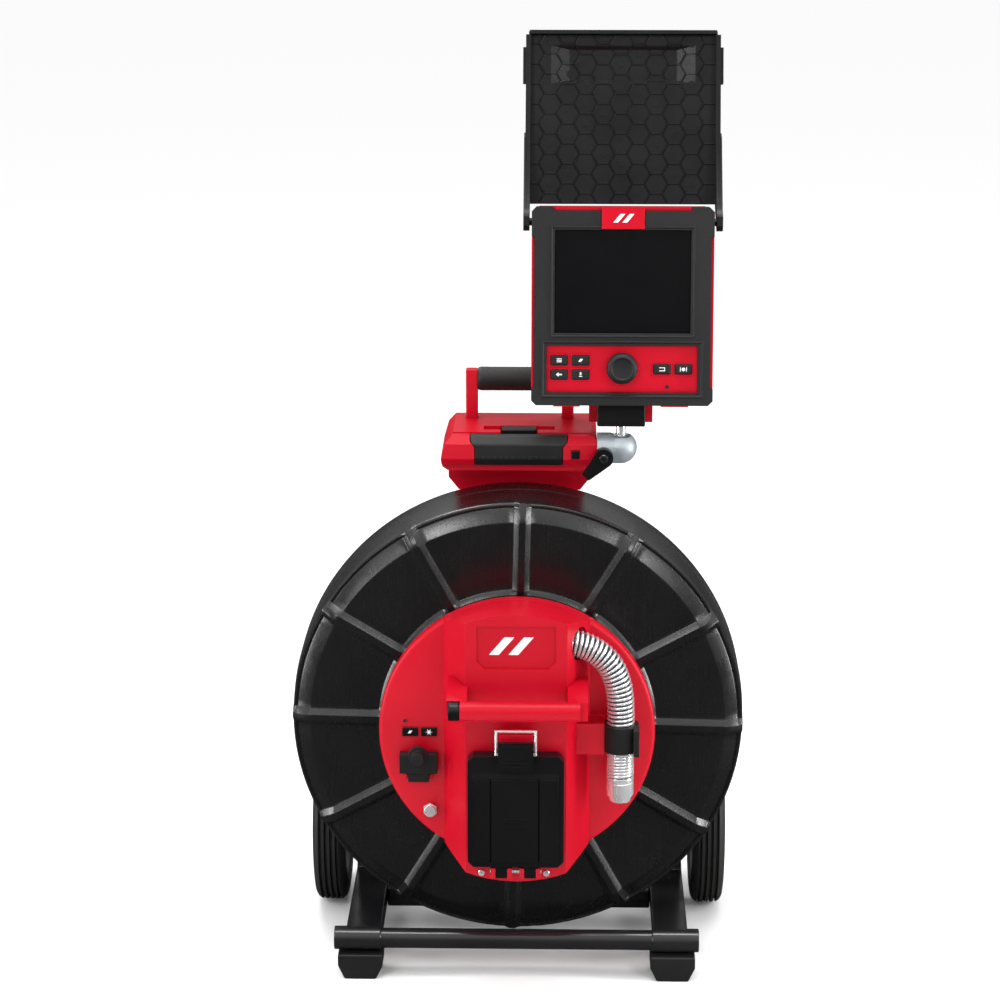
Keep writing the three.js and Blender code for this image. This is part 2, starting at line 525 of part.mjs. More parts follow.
function screenUnit() {
  const face = alongY(clipped(0, up(MON_H / 2), 2 * MON_HALF, MON_H, 5), MON_FACE, 0);
  const bezel = cut(face,
    slab(-71.5, 71.5, 76, 184, MON_FACE - 1, 1),
    slab(-79.6, 79.6, 13.5, 63.2, MON_FACE - 1, 1),
    slab(-88, 88, 10, 198, -20, 1),
    slab(-96, -92.5, 18, 177, MON_FACE - 1, 1), slab(92.5, 96, 18, 177, MON_FACE - 1, 1),
    slab(-72.3, 72.3, 204, 209, MON_FACE - 1, 1), slab(-22.7, 22.7, 185, 209, MON_FACE - 1, -27),
    rodX(4 + GAP, PIVOT_Y, up(PIVOT_V), -97, -89), rodX(4 + GAP, PIVOT_Y, up(PIVOT_V), 89, 97));
  piece('monitor_bezel', bezel, rubber, monitor);

  const shellFace = alongY(clipped(0, up(MON_H / 2), 2 * MON_HALF, MON_H, 8), GAP, MON_BACK);
  const hollow = slab(-90, 90, 6, 202, -1, MON_BACK - 5);
  const strips = [[-MON_HALF, -92.8], [92.8, MON_HALF]].map(([u0, u1]) =>
    slab(u0, u1, 18.3, 176.7, MON_FACE + 4, GAP + 1));
  const crown = [
    slab(-72, 72, 204.3, MON_H, MON_FACE + 3, GAP + 1), slab(-22.4, 22.4, 185.3, MON_H, -33, -27.3)];
  const lug = block(-34, 34, 16 + GAP, MON_BACK, 25, MON_LOW + 3);
  piece('monitor_rear_shell', join(cut(shellFace, hollow), ...strips, ...crown, lug), red, monitor);
  piece('screen_glass', slab(-71.2, 71.2, 76.3, 183.7, -27.5, -24), glass, monitor);

  const holes = Object.values(KEYS).map(([u, v]) =>
    slab(u - KEY_W / 2 - GAP, u + KEY_W / 2 + GAP, v - KEY_H / 2 - GAP, v + KEY_H / 2 + GAP, -30, -20));
  const plate = cut(slab(-79.3, 79.3, 13.8, 62.9, -27, -22.5), ...holes,
    rodY(6 + GAP, 0, up(KNOB_V), -30, -20));
  piece('control_panel', plate, red, monitor);
  for (const [name, [u, v]] of Object.entries(KEYS)) {
    const key = slab(u - KEY_W / 2, u + KEY_W / 2, v - KEY_H / 2, v + KEY_H / 2, -28.8, -24);
    piece(`monitor_key_${name}`, key, rubber, monitor);
  }
  const knob = join(rodY(16.5, 0, up(KNOB_V), -41, -27 - GAP, 40), rodY(6, 0, up(KNOB_V), -28, -22.5));
  piece('control_knob', cut(knob, rodY(10.5, 0, up(KNOB_V), -42, -39.5, 32)), rubber, monitor);
}

function visor() {
  const hinge = new THREE.Group();
  hinge.position.set(0, PIVOT_Y, up(PIVOT_V));
  hinge.rotation.x = -rad(VISOR_OPEN);
  monitor.add(hinge);
  const end = VISOR_START + VISOR_LEN;
  const inner = VISOR_BACK;
  const panel = block(-100, 100, inner, inner + 6, VISOR_START, end);
  const scoop = block(-76, 76, inner - 1, inner + 3.5, end - 55, end - 16);
  const cheekShape = [
    [-8, -5], [-3, -9], [5, -9], [12, -2], [inner + 7, VISOR_START + 1], [inner + 7, end - 5],
    [inner - 9, end - 5], [inner - 12, 80], [0, 14], [-8, 5],
  ];
  const armShape = [
    [-8, -5], [-3, -9], [5, -9], [12, -2], [inner + 5, VISOR_START + 1], [inner + 5, 88],
    [inner, 98], [inner - 10, 92], [0, 14], [-8, 5],
  ];
  const cheeks = [
    alongX(cheekShape, -103, -98), alongX(cheekShape, 98, 103),
    alongX(armShape, -104.5, -102), alongX(armShape, 102, 104.5),
    block(-106, -102, inner - 6, inner + 4, end - 56, end - 18),
    block(102, 106, inner - 6, inner + 4, end - 56, end - 18),
  ];
  const lip = block(-99, 99, inner - 8, inner + 1, end - 4, end);
  const pins = [rodX(4, 0, 0, -99, -90), rodX(4, 0, 0, 90, 99)];
  piece('sun_visor', join(cut(panel, scoop), ...cheeks, lip, ...pins), black, hinge);
}

frame();
wheels();
drum();
hub();
batteryDoor();
hubFittings();
topHousing();
ballMount();
mount();
screenUnit();
visor();

export default reel;
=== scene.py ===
import json
import math

import bmesh
import bpy
from mathutils import Matrix, Vector


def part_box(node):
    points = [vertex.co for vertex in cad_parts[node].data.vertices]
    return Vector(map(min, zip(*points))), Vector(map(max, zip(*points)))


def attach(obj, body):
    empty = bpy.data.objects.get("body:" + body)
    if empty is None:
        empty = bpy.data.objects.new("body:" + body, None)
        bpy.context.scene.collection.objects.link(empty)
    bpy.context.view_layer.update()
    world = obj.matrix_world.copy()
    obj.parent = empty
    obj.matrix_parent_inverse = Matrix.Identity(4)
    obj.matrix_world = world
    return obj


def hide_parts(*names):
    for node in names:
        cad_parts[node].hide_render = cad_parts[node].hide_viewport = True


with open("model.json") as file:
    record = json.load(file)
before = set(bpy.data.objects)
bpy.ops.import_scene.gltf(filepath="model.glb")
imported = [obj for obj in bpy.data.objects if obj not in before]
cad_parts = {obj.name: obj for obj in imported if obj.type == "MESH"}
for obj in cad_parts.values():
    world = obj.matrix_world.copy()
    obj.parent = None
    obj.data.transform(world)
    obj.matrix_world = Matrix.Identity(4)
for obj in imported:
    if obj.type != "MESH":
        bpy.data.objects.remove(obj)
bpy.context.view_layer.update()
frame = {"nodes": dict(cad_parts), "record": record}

MM = 0.001
scene = bpy.context.scene
rad = math.radians
bodies = frame["record"]["behaviour"]["bodies"]
BODY_OF = {node: body for body, members in bodies.items() for node in members}
SLOT_OF = {entry["node"]: entry["material_slot"] for entry in frame["record"]["subparts"]}


# ---- camera, floor and light --------------------------------------------------------
LENS = 100.95  # mm, on a sensor 36 mm wide
CAMERA_AT = (0.0426, -2.8951, 1.2998)
CAMERA_YAW = 1.24  # degrees to the left of +Y
CAMERA_PITCH = 15.4  # degrees down
FLOOR_SIZE = 40
FLOOR_TONE = 0.95
FLOOR_MIRRORED = 0.07  # the floor's tone in reflections
SKY_LOW = 0.1  # strength near the horizon
SKY_HIGH = 1.5  # and overhead
SKY_SEEN = 1.0  # what the camera sees of it
SKY_START = 0.05  # height of a direction at which the sky starts to brighten
LIGHTS = [  # name, place, what it points at, width and height, watts
    ("left_key", (-1.2, -2.36, 2.1), (0, -0.2, 0.5), (0.6, 0.6), 19),
    ("right_key", (1.55, -2.3, 1.8), (0, -0.2, 0.5), (0.6, 0.6), 17),
    ("left_front", (-1.75, -1.95, 1.0), (0, -0.2, 0.6), (0.14, 0.9), 5),
    ("right_low", (1.9, -0.6, 0.3), (0.1, 0, 0.3), (0.3, 0.5), 4),
    ("left_low", (-1.9, -0.6, 0.3), (-0.1, 0, 0.3), (0.3, 0.5), 4),
    ("right_strip", (1.9, -0.35, 0.7), (0.1, 0, 0.45), (0.25, 1.3), 24),
    ("left_strip", (-2.0, -0.35, 0.7), (-0.1, 0, 0.45), (0.25, 1.3), 18),
    ("top", (0.1, -0.35, 2.8), (0, 0, 0.6), (1.4, 0.6), 26),
    ("rear", (-0.9, 1.5, 2.5), (0, 0, 0.5), (0.8, 0.8), 20),
]


def aim(obj, yaw, pitch):
    """Turns a camera to look along +Y, then left by yaw and down by pitch."""
    obj.rotation_euler = (rad(90 - pitch), 0, rad(yaw))


def make_camera():
    """The camera, placed to match the photo's view."""
    data = bpy.data.cameras.new("camera")
    data.lens = LENS
    data.sensor_width = 36
    data.clip_end = 50
    cam = bpy.data.objects.new("camera", data)
    cam.location = CAMERA_AT
    aim(cam, CAMERA_YAW, CAMERA_PITCH)
    scene.collection.objects.link(cam)
    scene.camera = cam


def area_light(name, where, target, size, watts):
    """A soft rectangular lamp that the camera doesn't see."""
    data = bpy.data.lights.new(name, "AREA")
    data.shape = "RECTANGLE"
    data.size, data.size_y = size
    data.energy = watts
    lamp = bpy.data.objects.new(name, data)
    lamp.location = where
    lamp.visible_camera = False
    lamp.rotation_euler = (Vector(target) - Vector(where)).to_track_quat("-Z", "Y").to_euler()
    scene.collection.objects.link(lamp)


def make_studio():
    """The floor, the sky and the lamps."""
    bpy.ops.mesh.primitive_plane_add(size=FLOOR_SIZE, location=(0, 0, 0))
    floor = bpy.context.object
    floor.name = "floor"
    mat = bpy.data.materials.new("floor")
    mat.use_nodes = True
    shader = mat.node_tree.nodes["Principled BSDF"]
    shader.inputs["Roughness"].default_value = 1.0
    shader.inputs["Specular IOR Level"].default_value = 0.0
    # The floor's mirror image is dimmer than the floor, as in a studio with a dark front.
    path = mat.node_tree.nodes.new("ShaderNodeLightPath")
    tone = mat.node_tree.nodes.new("ShaderNodeMapRange")
    tone.inputs["To Min"].default_value = FLOOR_TONE
    tone.inputs["To Max"].default_value = FLOOR_MIRRORED
    mat.node_tree.links.new(path.outputs["Is Glossy Ray"], tone.inputs["Value"])
    mat.node_tree.links.new(tone.outputs["Result"], shader.inputs["Base Color"])
    floor.data.materials.append(mat)

    # A sky that is brightest overhead, so the floor is white and upright faces stay deep.
    world = bpy.data.worlds.new("studio")
    world.use_nodes = True
    tree = world.node_tree
    background = tree.nodes["Background"]
    background.inputs["Color"].default_value = (1, 1, 1, 1)
    where = tree.nodes.new("ShaderNodeTexCoord")
    parts = tree.nodes.new("ShaderNodeSeparateXYZ")
    tree.links.new(where.outputs["Generated"], parts.inputs["Vector"])
    rise = tree.nodes.new("ShaderNodeMapRange")
    rise.inputs["From Min"].default_value = SKY_START
    rise.inputs["From Max"].default_value = 1.0
    rise.inputs["To Min"].default_value = SKY_LOW
    rise.inputs["To Max"].default_value = SKY_HIGH
    tree.links.new(parts.outputs["Z"], rise.inputs["Value"])
    # To the camera's own rays the sky is plain white, so that the horizon isn't a dark band.
    seen = tree.nodes.new("ShaderNodeLightPath")
    plain = tree.nodes.new("ShaderNodeMix")
    plain.inputs["B"].default_value = SKY_SEEN
    tree.links.new(seen.outputs["Is Camera Ray"], plain.inputs["Factor"])
    tree.links.new(rise.outputs["Result"], plain.inputs["A"])
    tree.links.new(plain.outputs["Result"], background.inputs["Strength"])
    scene.world = world
    scene.view_settings.view_transform = "Standard"
    for name, where, target, size, watts in LIGHTS:
        area_light(name, where, target, size, watts)


# ---- materials ----------------------------------------------------------------------
def node(tree, kind, **values):
    """A new shader node."""
    made = tree.nodes.new(kind)
    for key, value in values.items():
        socket = made.inputs.get(key.replace("_", " "))
        if socket is not None:
            socket.default_value = value
        else:
            setattr(made, key, value)
    return made


def coordinates(tree, stretch=(1, 1, 1), turn=(0, 0, 0)):
    """Object coordinates, turned and stretched."""
    where = node(tree, "ShaderNodeTexCoord")
    mapping = node(tree, "ShaderNodeMapping", Scale=stretch, Rotation=turn)
    tree.links.new(where.outputs["Object"], mapping.inputs["Vector"])
    return mapping.outputs["Vector"]


def ranged(tree, source, low, high, start=0.3, stop=0.7):
    """A value mapped from one range to another."""
    made = node(tree, "ShaderNodeMapRange", From_Min=start, From_Max=stop, To_Min=low, To_Max=high)
    tree.links.new(source, made.inputs["Value"])
    return made.outputs["Result"]


def noise(tree, vector, scale, detail=3.0, roughness=0.55):
    """A noise texture's value."""
    made = node(tree, "ShaderNodeTexNoise", Scale=scale, Detail=detail, Roughness=roughness)
    tree.links.new(vector, made.inputs["Vector"])
    return made.outputs["Fac"]


BLOTCH_SCALE = 7.0
SMUDGE_SCALE = 24
SCUFF_STRETCH = (700, 700, 14)
SCUFF_TURN = (0.4, 0.6, 0.7)
COAT_ROUGH = 0.12


def surface(name, colour, tone, rough, metal=0.0, grain=(900, 0.10), scuff=0.0, coat=0.0, spec=0.5):
    """A Principled surface with mottled colour, uneven roughness, fine grain and light scuffs."""
    mat = bpy.data.materials.new(name)
    mat.use_nodes = True
    tree = mat.node_tree
    shader = tree.nodes["Principled BSDF"]
    shader.inputs["Metallic"].default_value = metal
    shader.inputs["Specular IOR Level"].default_value = spec
    shader.inputs["Coat Weight"].default_value = coat
    shader.inputs["Coat Roughness"].default_value = COAT_ROUGH
    plain = coordinates(tree)

    patches = noise(tree, plain, BLOTCH_SCALE, 4)
    mix = node(tree, "ShaderNodeMix", data_type="RGBA")
    tree.links.new(ranged(tree, patches, 0, 1), mix.inputs["Factor"])
    # The Mix node has several sockets called A and B; these are its colour ones.
    for socket in mix.inputs:
        if socket.type == "RGBA" and socket.name == "A":
            socket.default_value = (*colour, 1)
        if socket.type == "RGBA" and socket.name == "B":
            socket.default_value = (*tone, 1)
    result = [s for s in mix.outputs if s.type == "RGBA"][0]
    tree.links.new(result, shader.inputs["Base Color"])

    scale, depth = grain
    fine = noise(tree, plain, scale, 2)
    bump = node(tree, "ShaderNodeBump", Strength=depth, Distance=0.0006)
    height = fine
    smudge = ranged(tree, noise(tree, plain, SMUDGE_SCALE, 5), rough - 0.05, rough + 0.06)
    if scuff:
        streak = coordinates(tree, SCUFF_STRETCH, SCUFF_TURN)
        lines = noise(tree, streak, 1.0, 2, 0.7)
        marks = ranged(tree, lines, 0, scuff, 0.55, 0.75)
        add = node(tree, "ShaderNodeMath", operation="ADD")
        tree.links.new(smudge, add.inputs[0])
        tree.links.new(marks, add.inputs[1])
        smudge = add.outputs[0]
        both = node(tree, "ShaderNodeMath", operation="ADD")
        tree.links.new(fine, both.inputs[0])
        tree.links.new(marks, both.inputs[1])
        height = both.outputs[0]
    tree.links.new(height, bump.inputs["Height"])
    tree.links.new(smudge, shader.inputs["Roughness"])
    tree.links.new(bump.outputs["Normal"], shader.inputs["Normal"])
    return mat


def make_materials():
    """Every material of the object, by name."""
    return {
        "red_plastic": surface("red_plastic", (0.47, 0.0016, 0.0135), (0.42, 0.0016, 0.012), 0.36,
                               grain=(1400, 0.16), spec=0.18),
        "black_plastic": surface("black_plastic", (0.0025, 0.0025, 0.003), (0.0045, 0.0045, 0.005), 0.32,
                                 grain=(1300, 0.16), scuff=0.05, spec=0.28),
        "black_rubber": surface("black_rubber", (0.006, 0.006, 0.0065), (0.010, 0.010, 0.010), 0.5,
                                grain=(1500, 0.45), spec=0.38),
        "tyre": surface("tyre", (0.010, 0.010, 0.010), (0.020, 0.019, 0.018), 0.62, grain=(700, 0.4),
                        spec=0.35),
        "black_paint": surface("black_paint", (0.008, 0.008, 0.009), (0.012, 0.012, 0.013), 0.2,
                               grain=(420, 0.06), coat=0.1, spec=0.5),
        "steel": surface("steel", (0.93, 0.93, 0.94), (0.82, 0.83, 0.85), 0.2, metal=0.75,
                         grain=(600, 0.05), scuff=0.12),
        "casting": surface("casting", (0.40, 0.45, 0.48), (0.34, 0.385, 0.41), 0.42, metal=0.55,
                           grain=(1100, 0.4)),
        "glass": surface("glass", (0.0025, 0.0025, 0.003), (0.004, 0.004, 0.0045), 0.1,
                         grain=(30, 0.002), spec=0.3),
        "drum_plastic": surface("drum_plastic", (0.0025, 0.0025, 0.003), (0.005, 0.005, 0.0055), 0.25,
                                grain=(900, 0.16), scuff=0.09, spec=0.6),
        "white_print": surface("white_print", (0.8, 0.8, 0.8), (0.74, 0.74, 0.74), 0.5),
        "dark_lens": surface("dark_lens", (0.01, 0.01, 0.014), (0.02, 0.02, 0.03), 0.1, spec=0.6),
    }


# ---- mesh helpers -------------------------------------------------------------------
def finished(name, mesh, material, body, replaced=()):
    """Links a mesh as a piece that rides on a body, and hides the CAD nodes it stands for."""
    obj = bpy.data.objects.new(name, mesh)
    scene.collection.objects.link(obj)
    obj.data.materials.clear()
    obj.data.materials.append(MATERIALS[material])
    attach(obj, body)
    if replaced:
        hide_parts(*replaced)


def smooth(mesh, angle=32):
    """Shades a mesh smooth, with edges above an angle kept sharp."""
    mesh.shade_smooth()
    mesh.set_sharp_from_angle(angle=rad(angle))


def bevelled(mesh, width, segments=2, limit=32):
    """The mesh with its edges rounded, as a new mesh."""
    helper = bpy.data.objects.new("helper", mesh)
    scene.collection.objects.link(helper)
    modifier = helper.modifiers.new("bevel", "BEVEL")
    modifier.width = width
    modifier.segments = segments
    modifier.limit_method = "ANGLE"
    modifier.angle_limit = rad(limit)
    modifier.harden_normals = False
    normal = helper.modifiers.new("normal", "WEIGHTED_NORMAL")
    normal.keep_sharp = True
    mesh.shade_smooth()
    graph = bpy.context.evaluated_depsgraph_get()
    made = bpy.data.meshes.new_from_object(helper.evaluated_get(graph))
    bpy.data.objects.remove(helper)
    return made


def refine(name, width=0.0008, segments=2, limit=32):
    """A CAD node's own shape with rounded edges."""
    bm = bmesh.new()
    bm.from_mesh(frame["nodes"][name].data)
    bmesh.ops.remove_doubles(bm, verts=bm.verts, dist=2e-6)
    bmesh.ops.dissolve_limit(bm, angle_limit=rad(0.6), verts=bm.verts, edges=bm.edges)
    mesh = bpy.data.meshes.new(name + "_mesh")
    bm.to_mesh(mesh)
    bm.free()
    made = bevelled(mesh, width, segments, limit)
    finished(name + "_shape", made, SLOT_OF[name], BODY_OF[name], [name])


def grid_mesh(name, rows, closed_rows=False):
    """A mesh from rows of points, each row a closed ring of the same length."""
    count = len(rows[0])
    verts = [point for row in rows for point in row]
    faces = []
    last_row = len(rows) if closed_rows else len(rows) - 1
    for i in range(last_row):
        a = i * count
        b = ((i + 1) % len(rows)) * count
        for j in range(count):
            k = (j + 1) % count
            faces.append((a + j, a + k, b + k, b + j))
    mesh = bpy.data.meshes.new(name)
    mesh.from_pydata(verts, [], faces)
    bm = bmesh.new()
    bm.from_mesh(mesh)
    bmesh.ops.recalc_face_normals(bm, faces=bm.faces)
    bm.to_mesh(mesh)
    bm.free()
    return mesh


make_camera()
make_studio()
MATERIALS = make_materials()

# ---- shared places, from the frame --------------------------------------------------
DRUM_LOW, DRUM_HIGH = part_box("drum_front_shell")
REAR_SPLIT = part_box("drum_rear_shell")[0][1]
AXIS_Z = (DRUM_LOW[2] + DRUM_HIGH[2]) / 2
DRUM_R = (DRUM_HIGH[2] - DRUM_LOW[2]) / 2
LIP_Y = DRUM_LOW[1]
JOINTS = {joint["name"]: joint for joint in frame["record"]["behaviour"]["joints"]}
DRAWN_AXIS = 288  # height of the drum axis in the drawing that the hub's sizes come from, in mm


def hub_z(height):
    """World height of a height given in mm on the hub's drawing."""
    return AXIS_Z + (height - DRAWN_AXIS) * MM


def behind_lip(depth):
    """World Y of a depth in mm behind the drum's front lip."""
    return LIP_Y + depth * MM


# ---- drum ---------------------------------------------------------------------------
RIBS = 12
RIB_HALF = 3.6 * MM  # half the width of a rib's top
RIB_SLOPE = 5.2 * MM  # run of each of its flanks
RIB_TOP = 0.4 * MM  # depth of its top behind the lip
RIB_BEND = 18  # mm back from the rim where the ribs start to fall away
RIB_DROP = 0.66 * MM  # fall for each mm beyond that
PANEL_STEPS = 14  # facets of a panel between two ribs
DRUM_TURN = rad(1.3)
FACE = [  # radius back from the rim, and depth behind the lip, in mm
    (0.0, 62), (0.0, 44), (1.4, 22), (1.8, 16.4), (2.2, 14.6), (3.0, 13.5), (4.2, 13.1), (5.2, 13.4),
    (5.8, 14.2), (6.6, 14.3), (7.2, 13.7), (8.0, 13.1), (14, 9.9), (20.2, 6.5), (21.2, 6.1), (22.6, 6.0),
    (30, 6.0), (42, 6.0), (55, 6.0), (70, 6.0), (84, 6.0), (93.4, 6.0), (94.0, 5.8), (94.4, 5.4), (98.6, 2.4),
    (99.2, 2.1), (100.2, 2.0), (114, 2.0), (128, 2.0), (129.6, 2.8), (130, 4.5), (130, 7),
]
FACE_BACK = [(126, 7.5), (104, 7.5), (98, 12), (24, 12.2), (6, 20), (5, 62)]


def drum_front():
    """The ribbed front of the drum, with a wall a few millimetres thick."""
    half = [(RIB_HALF + RIB_SLOPE + 0.5 * MM, 0.0), (RIB_HALF + RIB_SLOPE - 0.1 * MM, 0.06),
            (RIB_HALF + 0.15 * MM, 0.95), (RIB_HALF - 0.5 * MM, 1.0), (RIB_HALF * 0.4, 1.0)]
    edges = [-offset for offset, _ in half] + [offset for offset, _ in reversed(half)]
    heights = [rise for _, rise in half] + [rise for _, rise in reversed(half)]
    rows = []
    for inset, depth in FACE:
        r = DRUM_R - inset * MM
        depth = depth * MM
        top = min(depth, RIB_TOP + max(0, RIB_BEND - inset) * RIB_DROP)
        if inset == 0:
            top = depth
        row = []
        for i in range(RIBS):
            start = 2 * math.pi * i / RIBS + DRUM_TURN
            for offset, rise in zip(edges, heights):
                row.append((r, start + math.asin(offset / r), depth + (top - depth) * rise))
            first = start + math.asin(edges[-1] / r)
            last = start + 2 * math.pi / RIBS - math.asin(edges[-1] / r)
            for k in range(1, PANEL_STEPS):
                row.append((r, first + (last - first) * k / PANEL_STEPS, depth))
        rows.append([(radius * math.sin(a), LIP_Y + y, AXIS_Z + radius * math.cos(a))
                     for radius, a, y in row])
    # The back of the wall, a few millimetres inside the front.
    for inset, depth in FACE_BACK:
        r = DRUM_R - inset * MM
        rows.append([(r * math.sin(a), LIP_Y + depth * MM, AXIS_Z + r * math.cos(a))
                     for a in angles_of(rows[0])])
    mesh = grid_mesh("drum_front", rows, closed_rows=True)
    smooth(mesh, 30)
    finished("drum_front", mesh, "drum_plastic", "drum", ["drum_front_shell"])


def angles_of(row):
    """The angle of each point of a row round the drum's axis."""
    return [math.atan2(x, z - AXIS_Z) for x, _, z in row]


def lathe_y(name, profile, centre, segments):
    """Turns (radius, y) points about the Y direction through centre (x, z)."""
    rows = []
    for r, y in profile:
        rows.append([(centre[0] + r * math.sin(2 * math.pi * k / segments), y,
                      centre[1] + r * math.cos(2 * math.pi * k / segments)) for k in range(segments)])
    return grid_mesh(name, rows, closed_rows=True)


def lathe_x(name, profile, centre, segments):
    """Turns (radius, x) points about the X direction through centre (y, z)."""
    rows = []
    for r, x in profile:
        rows.append([(x, centre[0] + r * math.sin(2 * math.pi * k / segments),
                      centre[1] + r * math.cos(2 * math.pi * k / segments)) for k in range(segments)])
    return grid_mesh(name, rows, closed_rows=True)


def drum_rear():
    """The drum's back: a turned profile of radius and y."""
    back = LIP_Y + 125 * MM
    profile = [
        (DRUM_R, REAR_SPLIT + 0.0006), (DRUM_R, LIP_Y + 0.088), (DRUM_R - 0.001, LIP_Y + 0.096),
        (DRUM_R - 0.005, LIP_Y + 0.105), (DRUM_R - 0.012, LIP_Y + 0.112), (DRUM_R - 0.024, LIP_Y + 0.117),
        (0.17, LIP_Y + 0.1195), (0.168, LIP_Y + 0.1175), (0.16, LIP_Y + 0.1175), (0.158, LIP_Y + 0.120),
        (0.075, back - 0.0006), (0.07, back), (0.0292, back), (0.0284, back - 0.001),
        (0.0284, LIP_Y + 0.108), (0.040, LIP_Y + 0.108), (0.044, LIP_Y + 0.1165), (0.15, LIP_Y + 0.113),
        (DRUM_R - 0.034, LIP_Y + 0.111), (DRUM_R - 0.014, LIP_Y + 0.104), (DRUM_R - 0.005, LIP_Y + 0.091),
        (DRUM_R - 0.005, REAR_SPLIT), (DRUM_R - 0.0008, REAR_SPLIT),
    ]
    mesh = lathe_y("drum_rear", profile, (0, AXIS_Z), 160)
    smooth(mesh, 30)
    finished("drum_rear", mesh, "drum_plastic", "drum", ["drum_rear_shell"])


def coil():
    """The push cable wound in the drum, turn beside turn."""
    low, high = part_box("push_cable_coil")
    cable = 0.0062  # half its thickness
    gap = 0.0004
    layers = 3
    sides = 6
    steps = 48  # in one turn
    outer = (high[2] - low[2]) / 2 - cable
    per_layer = int((high[1] - low[1] - 2 * cable) / (2 * cable + gap))
    rows = []
    turn = 0
    for layer in range(layers):
        r0 = outer - layer * 2 * cable
        total = per_layer * steps
        for k in range(total):
            part = k / total
            along = part if layer % 2 == 0 else 1 - part
            y = low[1] + cable + along * (high[1] - low[1] - 2 * cable)
            a = 2 * math.pi * (turn + k / steps)
            ring = []
            for s in range(sides):
                b = 2 * math.pi * s / sides
                r = r0 + cable * math.cos(b)
                ring.append((r * math.sin(a), y + cable * math.sin(b), AXIS_Z + r * math.cos(a)))
            rows.append(ring)
        turn += per_layer
    mesh = grid_mesh("push_cable", rows)
    smooth(mesh, 80)
    finished("push_cable", mesh, "black_rubber", "drum", ["push_cable_coil"])


# ---- wheels -------------------------------------------------------------------------
SPOKES = 6
TREAD_GROOVES = (-0.0093, -0.0031, 0.0031, 0.0093)  # across the tyre, from its middle


def wheel(side):
    """A rim with spokes and a hub, and its ribbed tyre."""
    low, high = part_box(side + "_tyre")
    centre = ((low[1] + high[1]) / 2, (low[2] + high[2]) / 2)
    middle = (low[0] + high[0]) / 2
    half = (high[0] - low[0]) / 2
    r = (high[2] - low[2]) / 2
    rim_low, rim_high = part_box(side + "_wheel")
    rim_r = (rim_high[2] - rim_low[2]) / 2
    seat = rim_r + 0.0004
    tread = [(seat, -half), (r - 0.012, -half), (r - 0.0065, -half + 0.0008),
             (r - 0.0025, -half + 0.003), (r, -half + 0.0065)]
    for groove in TREAD_GROOVES:
        tread += [(r, groove - 0.0016), (r - 0.0045, groove - 0.0009), (r - 0.0045, groove + 0.0009),
                  (r, groove + 0.0016)]
    tread += [(r, half - 0.0065), (r - 0.0025, half - 0.003), (r - 0.0065, half - 0.0008),
              (r - 0.012, half), (seat, half)]
    profile = [(radius, middle + x) for radius, x in tread]
    mesh = lathe_x(side + "_tyre_tread", profile, centre, 128)
    smooth(mesh, 28)
    finished(side + "_tyre_tread", mesh, "tyre", side + "_wheel", [side + "_tyre"])

    sign = -1 if middle < 0 else 1
    half_disc = [(0.0085, 0.018), (0.022, 0.018), (0.0235, 0.0165), (0.025, 0.008), (0.030, 0.0065),
                 (rim_r - 0.016, 0.0065), (rim_r - 0.012, 0.0085), (rim_r - 0.008, 0.0155),
                 (rim_r - 0.0065, 0.0163), (rim_r - 0.0005, 0.0163), (rim_r - 0.0003, 0.0155)]
    disc = [(q, -x) for q, x in half_disc] + list(reversed(half_disc))
    mesh = lathe_x(side + "_rim", [(radius, middle + x) for radius, x in disc], centre, 96)
    smooth(mesh, 28)
    finished(side + "_rim", mesh, "black_plastic", side + "_wheel", [side + "_wheel"])
    # Raised spokes on the disc's outer face.
    for k in range(SPOKES):
        a = 2 * math.pi * k / SPOKES
        spoke = bpy.data.meshes.new("spoke")
        bm = bmesh.new()
        bmesh.ops.create_cube(bm, size=1)
        bm.transform(Matrix.Diagonal((0.006, 0.009, rim_r - 0.040, 1)))
        bm.transform(Matrix.Translation((0, 0, (rim_r + 0.011) / 2)))
        bm.transform(Matrix.Rotation(a, 4, "X"))
        bm.transform(Matrix.Translation((middle + sign * 0.0085, centre[0], centre[1])))
        bm.to_mesh(spoke)
        bm.free()
        finished(f"{side}_spoke_{k + 1}", bevelled(spoke, 0.0015), "black_plastic", side + "_wheel")


# ---- hub ----------------------------------------------------------------------------
def along_path(name, points, radius, sides=10):
    """A round rod along points, with flat ends."""
    rows = []
    count = len(points)
    side = Vector((0, 1, 0))
    for i, point in enumerate(points):
        ahead = Vector(points[min(i + 1, count - 1)]) - Vector(points[max(i - 1, 0)])
        ahead.normalize()
        side = (side - ahead * side.dot(ahead)).normalized()
        other = ahead.cross(side)
        rows.append([tuple(Vector(point) + radius * (math.cos(a) * side + math.sin(a) * other))
                     for a in (2 * math.pi * k / sides for k in range(sides))])
    mesh = grid_mesh(name, rows)
    cap_ends(mesh)
    return mesh


CURVE_STEPS = 24  # between two given points


